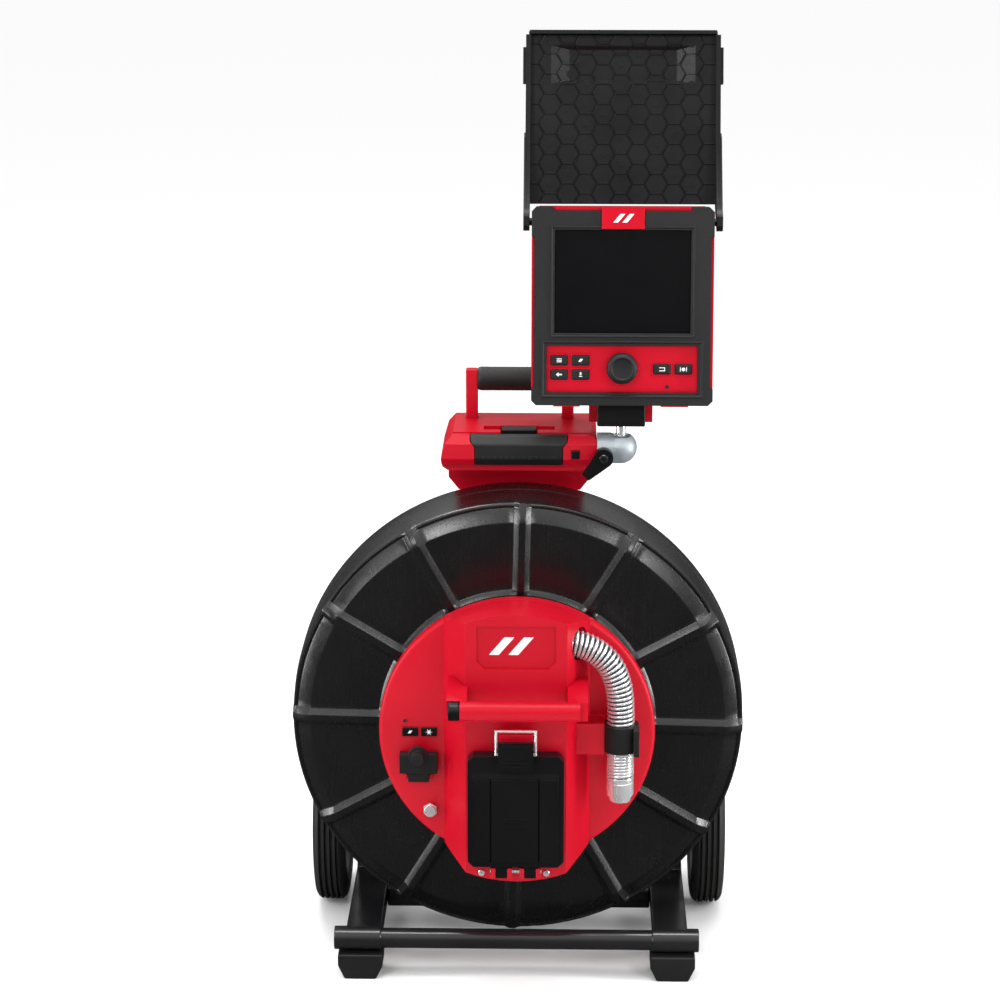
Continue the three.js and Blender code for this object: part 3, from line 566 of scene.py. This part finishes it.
def curve_points(points, count):
    """Evenly spaced points on a smooth curve through the given ones."""
    given = [Vector(p) for p in points]
    fine = []
    for i in range(len(given) - 1):
        p0 = given[max(i - 1, 0)]
        p1, p2 = given[i], given[i + 1]
        p3 = given[min(i + 2, len(given) - 1)]
        for k in range(CURVE_STEPS):
            t = k / CURVE_STEPS
            fine.append(0.5 * (2 * p1 + (p2 - p0) * t + (2 * p0 - 5 * p1 + 4 * p2 - p3) * t ** 2
                               + (3 * p1 - p0 - 3 * p2 + p3) * t ** 3))
    fine.append(given[-1])
    lengths = [0.0]
    for a, b in zip(fine, fine[1:]):
        lengths.append(lengths[-1] + (b - a).length)
    out = []
    at = 0
    for k in range(count):
        wanted = lengths[-1] * k / (count - 1)
        while at < len(fine) - 2 and lengths[at + 1] < wanted:
            at += 1
        part = (wanted - lengths[at]) / max(lengths[at + 1] - lengths[at], 1e-9)
        out.append(fine[at].lerp(fine[at + 1], part))
    return out, lengths[-1]


SPRING_LOW, SPRING_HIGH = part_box("camera_spring")
SPRING_Y = (SPRING_LOW[1] + SPRING_HIGH[1]) / 2
SPRING_R = (SPRING_HIGH[1] - SPRING_LOW[1]) / 2
SPRING_ROUTE = [(50, 397), (58, 396.3), (71, 392.5), (83, 386), (93, 377), (101, 364.5), (107, 345),
                (109, 319), (109, 290), (109, 268), (109, 250)]  # x and height, in mm on the drawing
SPRING_WIRE = 1.6 * MM  # half its thickness
SPRING_OPEN = 4.7 * MM  # from turn to turn above the strap
SPRING_CLOSED = 3.4 * MM  # and below it
SPRING_STRAP = 300  # height of the strap, in mm on the drawing
SPRING_SAMPLES = 2600
CORE_GAP = 0.9 * MM  # between the coil's centre line and the dark core


def camera_spring():
    """The spring's wire round a dark core."""
    coil_r = SPRING_R - SPRING_WIRE
    route = [(x * MM, SPRING_Y, hub_z(z)) for x, z in SPRING_ROUTE]
    centre, length = curve_points(route, SPRING_SAMPLES)
    step = length / (SPRING_SAMPLES - 1)
    side = Vector((0, 1, 0))
    points = []
    a = 0.0
    for i, here in enumerate(centre):
        ahead = (centre[min(i + 1, SPRING_SAMPLES - 1)] - centre[max(i - 1, 0)]).normalized()
        other = ahead.cross(side)
        a += 2 * math.pi * step / (SPRING_CLOSED if here.z < hub_z(SPRING_STRAP) else SPRING_OPEN)
        points.append(here + coil_r * (math.cos(a) * side + math.sin(a) * other))
    mesh = along_path("spring_wire", points, SPRING_WIRE, 8)
    smooth(mesh, 60)
    finished("spring_wire", mesh, "steel", "frame", ["camera_spring"])
    core = along_path("spring_core", curve_points(route, 80)[0], coil_r - CORE_GAP, 20)
    smooth(core, 60)
    finished("spring_core", core, "dark_lens", "frame")


def camera_head():
    """The camera's ringed head with its lens."""
    low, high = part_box("camera_head")
    x = (low[0] + high[0]) / 2
    y = (low[1] + high[1]) / 2
    top = high[2]
    profile = [(0, top), (0.0138, top), (0.0142, top - 0.0008), (0.0142, top - 0.003), (0.0134, top - 0.0038),
               (0.0134, top - 0.0056), (0.0142, top - 0.0064), (0.0142, top - 0.019), (0.0138, top - 0.0205),
               (0.0122, top - 0.0212), (0.0116, top - 0.0262), (0.011, top - 0.0272), (0.0088, top - 0.0272),
               (0.0086, top - 0.0262), (0, top - 0.0262)]
    segments = 64
    rows = [[(x + r * math.sin(2 * math.pi * k / segments), y + r * math.cos(2 * math.pi * k / segments), z)
             for k in range(segments)] for r, z in profile[1:-1]]
    mesh = grid_mesh("head_body", rows)
    cap_ends(mesh)
    smooth(mesh, 30)
    finished("head_body", mesh, "steel", "frame", ["camera_head"])
    lens = ellipsoid("head_lens", (x, y, low[2] + 0.0016), 0.0078, 0.00195)
    smooth(lens)
    finished("head_lens", lens, "dark_lens", "frame")


def ellipsoid(name, centre, radius, height, segments=32, bands=16):
    """A flattened ball, built ring by ring so that its faces come in the same order each run."""
    x, y, z = centre
    rows = []
    for k in range(1, bands):
        a = math.pi * k / bands
        r = radius * math.sin(a)
        rows.append([(x + r * math.cos(2 * math.pi * j / segments),
                      y + r * math.sin(2 * math.pi * j / segments), z + height * math.cos(a))
                     for j in range(segments)])
    mesh = grid_mesh(name, rows)
    bm = bmesh.new()
    bm.from_mesh(mesh)
    caps = bmesh.ops.holes_fill(bm, edges=[e for e in bm.edges if e.is_boundary])["faces"]
    for tip in bmesh.ops.poke(bm, faces=caps)["verts"]:
        tip.co.z = z + math.copysign(height, tip.co.z - z)
    bmesh.ops.recalc_face_normals(bm, faces=bm.faces)
    bm.to_mesh(mesh)
    bm.free()
    return mesh


def cap_ends(mesh):
    """Closes a mesh's open ends."""
    bm = bmesh.new()
    bm.from_mesh(mesh)
    bmesh.ops.holes_fill(bm, edges=[e for e in bm.edges if e.is_boundary])
    bmesh.ops.recalc_face_normals(bm, faces=bm.faces)
    bm.to_mesh(mesh)
    bm.free()


def prism(name, outline, low, high, axis="Y"):
    """A flat outline pushed along an axis: (x, z) along Y, or (y, z) along X."""
    bm = bmesh.new()
    make = {"Y": lambda a, b, d: (a, d, b), "X": lambda a, b, d: (d, a, b)}[axis]
    near = [bm.verts.new(make(a, b, low)) for a, b in outline]
    far = [bm.verts.new(make(a, b, high)) for a, b in outline]
    bm.faces.new(near)
    bm.faces.new(list(reversed(far)))
    for i in range(len(near)):
        k = (i + 1) % len(near)
        bm.faces.new((near[k], near[i], far[i], far[k]))
    bmesh.ops.recalc_face_normals(bm, faces=bm.faces)
    mesh = bpy.data.meshes.new(name)
    bm.to_mesh(mesh)
    bm.free()
    return mesh


def plate(name, outline, low, high, body, material, bevel=0.0004, axis="Y", matrix=None):
    """A flat outline pushed along an axis, with small rounded edges."""
    mesh = bevelled(prism(name, outline, low, high, axis), bevel, 2, 25)
    if matrix:
        mesh.transform(matrix)
    finished(name, mesh, material, body)


def rectangle(x0, x1, z0, z1, corner=0.0):
    """A rectangle's outline, with its corners cut if asked."""
    if not corner:
        return [(x0, z0), (x1, z0), (x1, z1), (x0, z1)]
    return [(x0 + corner, z0), (x1 - corner, z0), (x1, z0 + corner), (x1, z1 - corner),
            (x1 - corner, z1), (x0 + corner, z1), (x0, z1 - corner), (x0, z0 + corner)]


def circle(x, z, r, count=24):
    """A circle's outline."""
    return [(x + r * math.cos(2 * math.pi * k / count), z + r * math.sin(2 * math.pi * k / count))
            for k in range(count)]


def screw(name, x, y, z, r, body, material="steel"):
    """A round-headed hex-socket screw whose head faces -Y with its seat at y."""
    segments = 32
    profile = [(r, y), (r, y - r * 0.5), (r * 0.86, y - r * 0.66), (r * 0.5, y - r * 0.66)]
    rows = [[(x + q * math.sin(2 * math.pi * k / segments), yy, z + q * math.cos(2 * math.pi * k / segments))
             for k in range(segments)] for q, yy in profile]
    hexagon = []
    for k in range(segments):
        a = 2 * math.pi * k / segments
        reach = r * 0.46 * math.cos(math.pi / 6) / math.cos((a % (math.pi / 3)) - math.pi / 6)
        hexagon.append((x + reach * math.sin(a), y - r * 0.66, z + reach * math.cos(a)))
    floor = [(px, y - r * 0.2, pz) for px, _, pz in hexagon]
    mesh = grid_mesh(name, rows + [hexagon, floor])
    cap_ends(mesh)
    smooth(mesh, 35)
    finished(name, mesh, material, body)


HUB_LOW, HUB_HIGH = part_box("hub_base")
HUB_R = (HUB_HIGH[2] - HUB_LOW[2]) / 2
HUB_Y = HUB_LOW[1]


def hub_details():
    """The hub's disc with its keys, their marks, two lugs and an indicator."""
    # Base disc with a soft, stepped rim.
    y = HUB_Y
    profile = [(0.0145, y + 0.015), (0.0145, y + 0.055), (0.06, y + 0.055), (0.06, y + 0.017),
               (HUB_R - 0.004, y + 0.017), (HUB_R - 0.001, y + 0.0155), (HUB_R, y + 0.013),
               (HUB_R, y + 0.0045), (HUB_R - 0.0006, y + 0.0026), (HUB_R - 0.0022, y + 0.0008),
               (HUB_R - 0.0045, y), (0.017, y), (0.016, y + 0.0008), (0.016, y + 0.007), (0.0145, y + 0.007)]
    mesh = lathe_y("hub_disc", profile, (0, AXIS_Z), 192)
    smooth(mesh, 32)
    finished("hub_disc", mesh, "red_plastic", "frame", ["hub_base"])

    # Key seat, port cover lugs, keys with their marks, and an indicator on the left of the disc.
    left_low, left_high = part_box("hub_button_left")
    right_low, right_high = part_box("hub_button_right")
    margin = 0.002
    seat = rectangle(left_low[0] - margin, right_high[0] + margin, left_low[2] - margin,
                     left_high[2] + margin, 0.001)
    plate("hub_key_seat", seat, y - 0.0003, y + 0.0006, "frame", "red_plastic")
    for name, side in (("left", -118.6 * MM), ("right", -92.4 * MM)):
        plate(f"port_lug_{name}", rectangle(side, side + 3 * MM, hub_z(235), hub_z(241.5), 0.0008),
              y - 0.005, y + 0.0006, "frame", "red_plastic")
    for name, low, high in (("left", left_low, left_high), ("right", right_low, right_high)):
        node_name = "hub_button_" + name
        refine(node_name, 0.0008, 3)
        cx = (low[0] + high[0]) / 2
        cz = (low[2] + high[2]) / 2
        icon_plate(f"hub_icon_{name}", cx, cz, low[1] - 0.0001, node_name,
                   "sun" if name == "right" else "bar", Matrix.Identity(4))
    cx = left_low[0] + 0.0027
    cz = left_high[2] + 0.0072
    plate("hub_indicator", circle(cx, cz, 0.0021, 20), y - 0.0009, y + 0.0006, "frame", "dark_lens")
    plate("hub_indicator_frame", rectangle(cx - 0.003, cx + 0.003, cz - 0.003, cz + 0.003, 0.0012),
          y - 0.0005, y + 0.0006, "frame", "red_plastic")


def icon_plate(name, cx, cz, face, body, kind, matrix):
    """A small raised white symbol with no lettering."""
    thick = 0.00022
    parts = []
    if kind in ("sun", "photo"):
        parts.append(circle(cx, cz, 0.0019, 20))
    if kind == "sun":
        for k in range(6):
            a = math.pi * k / 3
            dx, dz = math.cos(a), math.sin(a)
            parts.append([(cx + 0.0024 * dx - 0.0003 * dz, cz + 0.0024 * dz + 0.0003 * dx),
                          (cx + 0.0024 * dx + 0.0003 * dz, cz + 0.0024 * dz - 0.0003 * dx),
                          (cx + 0.0034 * dx + 0.0003 * dz, cz + 0.0034 * dz - 0.0003 * dx),
                          (cx + 0.0034 * dx - 0.0003 * dz, cz + 0.0034 * dz + 0.0003 * dx)])
    if kind == "bar":
        parts.append([(cx - 0.0026, cz - 0.0014), (cx + 0.0004, cz - 0.0014), (cx + 0.0026, cz + 0.0016),
                      (cx - 0.0004, cz + 0.0016)])
    if kind == "menu":
        for k in (-1, 0, 1):
            line = cz + k * 0.0016
            parts.append(rectangle(cx - 0.0026, cx + 0.0026, line - 0.0004, line + 0.0004))
    if kind == "back":
        parts.append([(cx - 0.0034, cz), (cx - 0.0006, cz - 0.0022), (cx - 0.0006, cz + 0.0022)])
        parts.append(rectangle(cx - 0.0006, cx + 0.003, cz - 0.0007, cz + 0.0007))
    if kind == "mic":
        parts.append(rectangle(cx - 0.0009, cx + 0.0009, cz - 0.0006, cz + 0.0026, 0.0007))
        parts.append(rectangle(cx - 0.0018, cx + 0.0018, cz - 0.0022, cz - 0.0014))
    if kind == "photo":
        parts.append(rectangle(cx - 0.0036, cx - 0.0029, cz - 0.0024, cz + 0.0024))
        parts.append(rectangle(cx + 0.0029, cx + 0.0036, cz - 0.0024, cz + 0.0024))
    if kind == "loop":
        parts.append(rectangle(cx - 0.003, cx + 0.0024, cz + 0.0012, cz + 0.002))
        parts.append(rectangle(cx - 0.003, cx + 0.0024, cz - 0.002, cz - 0.0012))
        parts.append(rectangle(cx + 0.0024, cx + 0.0032, cz - 0.002, cz + 0.002))
    for i, shape in enumerate(parts):
        mesh = prism(f"{name}_{i}", shape, face - thick, face + 0.0001)
        mesh.transform(matrix)
        finished(f"{name}_{i}", mesh, "white_print", body)


def wedge(name, side, low, high, body, material, bevel=0.0004):
    """A (y, z) outline pushed along X."""
    plate(name, side, low, high, body, material, bevel, axis="X")


def battery_side():
    """The battery door's panels and bar, the screws by it, and the latch's ribs."""
    refine("battery_door", 0.0016, 3)
    low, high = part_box("battery_door")
    edge = 0.0055
    left, right = low[0] + edge, high[0] - edge
    y = behind_lip(-96)
    floor, sill, band = hub_z(169), hub_z(262), hub_z(272.5)
    # Three flush panels with grooves between them, under a band that slopes back.
    for i, (a, b) in enumerate(((left, -0.0268), (-0.0252, 0.0232), (0.0248, right))):
        plate(f"door_panel_{i + 1}", rectangle(a, b, floor, sill, 0.0012), y - 0.0014, y + 0.001,
              "battery_door", "black_plastic", 0.0007)
    wedge("door_band", [(y - 0.0014, sill + 0.0002), (y + 0.001, sill + 0.0002), (y + 0.001, band)],
          left, right, "battery_door", "black_plastic", 0.0003)
    # A plain raised bar on the middle panel.
    mark = hub_z(214)
    rimmed("door_mark", rectangle(-0.0135, 0.0125, mark - 0.0045, mark + 0.0045, 0.002),
           rectangle(-0.0115, 0.0105, mark - 0.0027, mark + 0.0027, 0.001), y - 0.0019, y - 0.0012,
           "black_plastic", Matrix.Identity(4), "battery_door")
    for i, x in enumerate((-0.036, 0.032)):
        screw(f"hub_screw_{i + 1}", x, behind_lip(-79), hub_z(151), 0.0034, "frame")
    refine("latch_plate", 0.0009, 2)
    plate_low, plate_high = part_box("latch_plate")
    front = plate_low[1]
    for i, z in enumerate((plate_low[2] + 0.004, plate_low[2] + 0.0085, plate_high[2] - 0.004)):
        plate(f"latch_rib_{i + 1}", rectangle(-0.0135, 0.0135, z - 0.0008, z + 0.0008), front - 0.0008,
              front + 0.0006, "latch_plate", "black_plastic", 0.0004)
    refine("latch_bail", 0.0002, 1)


def hub_badge():
    """Two plain slanted bars in the recess above the handle."""
    y = behind_lip(-76)
    low, high = hub_z(391), hub_z(410)
    for i, x in enumerate((-0.028, -0.008)):
        shape = [(x, low), (x + 0.010, low), (x + 0.026, high), (x + 0.016, high)]
        plate(f"hub_badge_{i + 1}", shape, y - 0.0009, y + 0.0006, "frame", "white_print", 0.0002)


def remaining_nodes():
    """The nodes shown as their own shapes, each with the width of its rounded edges."""
    widths = {
        "left_leg": 0.003, "right_leg": 0.003, "left_foot": 0.003, "right_foot": 0.003,
        "left_upright": 0.002, "right_upright": 0.002, "front_bar": 0.0015, "lower_crossbar": 0.002,
        "rear_crossbar": 0.002, "wheel_axle": 0.001, "spindle_plate": 0.0015, "spindle": 0.001,
        "hub_cover": 0.0022, "hub_handle": 0.0016,
        "handle_end_cap": 0.0016, "chrome_connector": 0.0006, "strap_clamp": 0.0007, "port_cover": 0.0012,
        "top_housing_front": 0.0024, "top_housing_rear": 0.0024, "handle_latch": 0.0015,
        "housing_button": 0.001, "telescoping_handle": 0.0018, "ball_housing": 0.001, "clamp_lever": 0.0014,
        "ball_stud": 0.0004, "mount_block": 0.0016, "monitor_bezel": 0.0022, "monitor_rear_shell": 0.002,
        "screen_glass": 0.0005, "control_panel": 0.0006, "battery_pack": 0.002, "door_hinge_pin": 0.0003,
        "drum_bearing": 0.0004, "pivot_ball": 0.0002,
    }
    for name, width in widths.items():
        refine(name, width, 3 if width > 0.0015 else 2, limit=28)


# ---- monitor ------------------------------------------------------------------------
# The monitor leans back, so its details are laid out upright and then turned with it.
BALL = Vector(JOINTS["monitor_tilt"]["pos_m"])
LEAN = Matrix.Translation(BALL) @ Matrix.Rotation(rad(-8), 4, "X")
LOW_EDGE = 0.047  # the monitor's lower edge above the ball's centre
MON_FRONT = -0.031  # its front face from the ball's centre
KEYS = {  # x, height above the lower edge (both in mm) and mark
    "menu": (-66, 47.5, "menu"), "record": (-43.5, 47.5, "bar"), "back": (-66, 32.5, "back"),
    "audio": (-43.5, 32.5, "mic"), "enter": (42, 38.5, "loop"), "photo": (64.5, 38.5, "photo"),
}


def above_edge(x0, x1, z0, z1, corner=0.0):
    """A rectangle in mm whose heights count from the monitor's lower edge."""
    return rectangle(x0 * MM, x1 * MM, LOW_EDGE + z0 * MM, LOW_EDGE + z1 * MM, corner)


def monitor_details():
    """The monitor's keys with marks and rims, its frames, sensor, pads, tab marks and knob."""
    for name, (u, v, kind) in KEYS.items():
        node_name = "monitor_key_" + name
        refine(node_name, 0.0011, 3)
        icon_plate("icon_" + name, u * MM, LOW_EDGE + v * MM, -0.0288, node_name, kind, LEAN)
        seat = above_edge(u - 10.6, u + 10.6, v - 6.8, v + 6.8, 0.0015)
        hole = above_edge(u - 9.4, u + 9.4, v - 5.6, v + 5.6, 0.0012)
        rimmed(f"key_rim_{name}", seat, hole, -0.0279, -0.0269, "red_plastic", LEAN)
    # Sloped inner frames round the screen and the controls.
    sloped("screen_frame", above_edge(-75.5, 75.5, 72, 188), above_edge(-71.2, 71.2, 76.3, 183.7),
           MON_FRONT - 0.0012, -0.0277, "black_rubber", LEAN)
    sloped("control_frame", above_edge(-85, 85, 8.5, 68), above_edge(-79.3, 79.3, 13.8, 62.9),
           MON_FRONT - 0.0012, -0.0275, "black_rubber", LEAN)
    plate("light_sensor", circle(0.0475, LOW_EDGE + 0.0198, 0.002, 20), -0.0275, -0.0265, "monitor",
          "dark_lens", 0.0002, matrix=LEAN)
    for i, (a, b) in enumerate(((-0.072, -0.044), (0.041, 0.070))):
        plate(f"bottom_pad_{i + 1}", rectangle(a, b, LOW_EDGE - 0.0014, LOW_EDGE + 0.001), -0.029, -0.008,
              "monitor", "red_plastic", 0.0004, matrix=LEAN)
    for i, x in enumerate((-0.0105, -0.001)):
        low = LOW_EDGE + 0.192
        shape = [(x, low), (x + 0.005, low), (x + 0.0125, low + 0.009), (x + 0.0075, low + 0.009)]
        plate(f"tab_mark_{i + 1}", shape, -0.0334, -0.0325, "monitor", "white_print", 0.0001, matrix=LEAN)
    knob(LOW_EDGE + 0.0395)


def rimmed(name, outer, inner, near, far, material, matrix, body="monitor"):
    """A flat frame between an outline and its opening."""
    rows = [[(a, near, b) for a, b in outer], [(a, near, b) for a, b in inner],
            [(a, far, b) for a, b in inner], [(a, far, b) for a, b in outer]]
    mesh = bevelled(grid_mesh(name, rows, closed_rows=True), 0.0002, 2, 25)
    mesh.transform(matrix)
    finished(name, mesh, material, body)


def sloped(name, outer, inner, near, far, material, matrix):
    """A frame that rises from its outer edge and slopes in to its opening."""
    mid = [((a + c) / 2, (b + d) / 2) for (a, b), (c, d) in zip(outer, inner)]
    rows = [[(a, near + 0.0013, b) for a, b in outer], [(a * 0.999, near, b) for a, b in outer],
            [(a + (c - a) * 0.35, near, b + (d - b) * 0.35) for (a, b), (c, d) in zip(outer, inner)],
            [(a, far, b) for a, b in inner], [(a, far + 0.0008, b) for a, b in mid]]
    mesh = bevelled(grid_mesh(name, rows, closed_rows=True), 0.0004, 2, 25)
    mesh.transform(matrix)
    finished(name, mesh, material, "monitor")


def knob(z):
    """The control knob: a dished cap with a finely ridged skirt."""
    segments = 144
    profile = [(0.006, -0.0225), (0.006, -0.0272), (0.0158, -0.0272), (0.0165, -0.0278), (0.0165, -0.0352),
               (0.0160, -0.0378), (0.0146, -0.0398), (0.0128, -0.0408), (0.0117, -0.0409), (0.0108, -0.0402),
               (0.0101, -0.0393), (0.006, -0.0388), (0.0005, -0.0387)]
    rows = []
    for r, y in profile:
        row = []
        for k in range(segments):
            ridge = 0.00035 * (k % 2) if -0.036 < y < -0.0275 and r > 0.016 else 0
            a = 2 * math.pi * k / segments
            row.append(((r - ridge) * math.sin(a), y, z + (r - ridge) * math.cos(a)))
        rows.append(row)
    mesh = grid_mesh("knob_cap", rows)
    cap_ends(mesh)
    mesh.transform(LEAN)
    smooth(mesh, 32)
    finished("knob_cap", mesh, "black_rubber", "control_knob", ["control_knob"])


# ---- visor --------------------------------------------------------------------------
PIVOT = LEAN.inverted() @ Vector(JOINTS["sun_visor_hinge"]["pos_m"])
VISOR_TURN = LEAN @ Matrix.Translation((0, PIVOT.y, PIVOT.z)) @ Matrix.Rotation(rad(-8), 4, "X")
VISOR_FACE = 0.031  # the panel's inner face behind the pivot
VISOR_START = 0.023  # its lower edge above the pivot
VISOR_END = 0.206  # and its upper edge
TRAY = (0.0765, VISOR_END - 0.0558, VISOR_END - 0.0152)  # half width, low and high edge
TRAY_END = 0.0195  # run of the sloped walls at the tray's two ends
TRAY_SIDE = 0.004  # and at its long sides
TRAY_DEPTH = 0.0034
CELL_PITCH = 0.0187  # between the honeycomb's columns
CELL_HEIGHT = 0.0212
HONEYCOMB_HALF = 0.0972  # half its width


def visor_face(x, z):
    """Depth of the visor's inner face, which drops into a shallow tray near its top."""
    half, low, high = TRAY
    across = (half - abs(x)) / TRAY_END
    along = min(z - low, high - z) / TRAY_SIDE
    return VISOR_FACE + TRAY_DEPTH * max(0.0, min(1.0, across, along))


def ridge(bm, start, stop, half_width, height):
    """A low ridge along a line on the visor's inner face, in short pieces that follow it."""
    pieces = 8
    run = Vector((stop[0] - start[0], 0, stop[1] - start[1]))
    side = Vector((run.z, 0, -run.x)).normalized() * half_width
    rows = []
    for k in range(pieces + 1):
        here = Vector((start[0], 0, start[1])) + run * (k / pieces)
        y = visor_face(here.x, here.z)
        row = []
        for across, rise in ((-1, -0.2), (-0.45, 1), (0.45, 1), (1, -0.2)):
            point = here + side * across
            row.append(bm.verts.new((point.x, y - rise * height, point.z)))
        rows.append(row)
    for a, b in zip(rows, rows[1:]):
        for k in range(3):
            bm.faces.new((a[k], a[k + 1], b[k + 1], b[k]))
    bm.faces.new(rows[0])
    bm.faces.new(rows[-1])


def visor():
    """The visor's tray with its honeycomb and marks."""
    refine("sun_visor", 0.0014, 2)
    half, low, high = TRAY
    outer = rectangle(-half, half, low, high)
    floor = rectangle(-half + TRAY_END, half - TRAY_END, low + TRAY_SIDE, high - TRAY_SIDE)
    rows = [[(a, VISOR_FACE - 0.0003, b) for a, b in outer],
            [(a, VISOR_FACE + TRAY_DEPTH, b) for a, b in floor],
            [(a, VISOR_FACE + TRAY_DEPTH + 0.0003, b) for a, b in floor],
            [(a, VISOR_FACE + TRAY_DEPTH + 0.0003, b) for a, b in outer]]
    tray = grid_mesh("visor_tray", rows, closed_rows=True)
    tray.transform(VISOR_TURN)
    finished("visor_tray", tray, "black_plastic", "sun_visor")

    # Moulded honeycomb of fine ridges, each shared edge drawn once.
    radius = CELL_HEIGHT / math.sqrt(3)
    edges = set()
    centres = []
    for c in range(-6, 7):
        for k in range(-1, 11):
            cx = c * CELL_PITCH - 0.002
            cz = VISOR_START + k * CELL_HEIGHT + (CELL_HEIGHT / 2 if c % 2 else 0)
            centres.append((c, k, cx, cz))
            corners = circle(cx, cz, radius, 6)
            for n in range(6):
                a, b = corners[n], corners[(n + 1) % 6]
                edges.add(tuple(sorted(((round(a[0], 4), round(a[1], 4)), (round(b[0], 4), round(b[1], 4))))))
    bm = bmesh.new()
    for a, b in sorted(edges):
        clipped = clip_line(a, b, (-HONEYCOMB_HALF, HONEYCOMB_HALF, VISOR_START + 0.001, VISOR_END - 0.0045))
        if clipped:
            ridge(bm, *clipped, 0.0011, 0.0008)
    bmesh.ops.recalc_face_normals(bm, faces=bm.faces)
    mesh = bpy.data.meshes.new("visor_ridges")
    bm.to_mesh(mesh)
    bm.free()
    mesh.transform(VISOR_TURN)
    finished("visor_ridges", mesh, "black_plastic", "sun_visor")
    # Round moulding marks in some of the cells.
    for c, k, cx, cz in centres:
        inside = abs(cx) < 0.088 and VISOR_START + 0.008 < cz < VISOR_END - 0.012
        if inside and (3 * c + 5 * k) % 7 in (0, 3):
            y = visor_face(cx, cz)
            plate(f"visor_mark_{c + 6}_{k}", circle(cx, cz, 0.0036), y - 0.00035, y + 0.0004, "sun_visor",
                  "black_plastic", 0.0002, matrix=VISOR_TURN)


def clip_line(a, b, limits):
    """The part of a line inside x0, x1, z0, z1, or None."""
    x0, x1, z0, z1 = limits
    t0, t1 = 0.0, 1.0
    dx, dz = b[0] - a[0], b[1] - a[1]
    for p, q in ((-dx, a[0] - x0), (dx, x1 - a[0]), (-dz, a[1] - z0), (dz, z1 - a[1])):
        if abs(p) < 1e-9:
            if q < 0:
                return None
        elif p < 0:
            t0 = max(t0, q / p)
        else:
            t1 = min(t1, q / p)
    if t1 - t0 < 0.04:
        return None
    return (a[0] + dx * t0, a[1] + dz * t0), (a[0] + dx * t1, a[1] + dz * t1)


# ---- grips --------------------------------------------------------------------------
def front_grip():
    """Moulded rubber round the front of the top housing, with a row of fine pips low down."""
    refine("front_grip", 0.0016, 3)
    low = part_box("front_grip")[0]
    z = low[2] + 0.0115
    for k in range(13):
        x = (k - 6) * 0.0062
        shape = rectangle(x - 0.0019, x + 0.0019, z - 0.0016, z + 0.0016, 0.0006)
        plate(f"grip_pip_{k + 1}", shape, low[1] - 0.0004, low[1] + 0.001, "frame", "black_rubber", 0.0003)


def rear_grip():
    """A rubber sleeve with fine rings, on the handle's bar."""
    low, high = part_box("rear_grip")
    centre = ((low[1] + high[1]) / 2, (low[2] + high[2]) / 2)
    length = high[0] - low[0]
    steps = 60
    profile = []
    for k in range(steps + 1):
        t = k / steps
        end = min(t, 1 - t) * length
        r = 0.013 - 0.0012 * max(0.0, 1 - end / 0.004) ** 2
        if 0.012 < end:
            r -= 0.00018 * (0.5 + 0.5 * math.cos(2 * math.pi * (end - 0.012) / 0.004))
        profile.append((r, low[0] + t * length))
    profile += [(0.0069, high[0]), (0.0069, low[0])]
    mesh = lathe_x("handle_grip", profile, centre, 48)
    smooth(mesh, 40)
    finished("handle_grip", mesh, "black_rubber", BODY_OF["rear_grip"], ["rear_grip"])


def lever_screw():
    """The screw in the middle of the clamp lever."""
    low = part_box("clamp_lever")[0]
    x, _, z = JOINTS["clamp_lever_turn"]["pos_m"]
    screw("lever_screw", x, low[1] + 0.0004, z, 0.0048, "clamp_lever", "black_paint")


drum_front()
drum_rear()
coil()
wheel("left")
wheel("right")
camera_spring()
camera_head()
hub_details()
battery_side()
hub_badge()
remaining_nodes()
monitor_details()
visor()
front_grip()
rear_grip()
lever_screw()
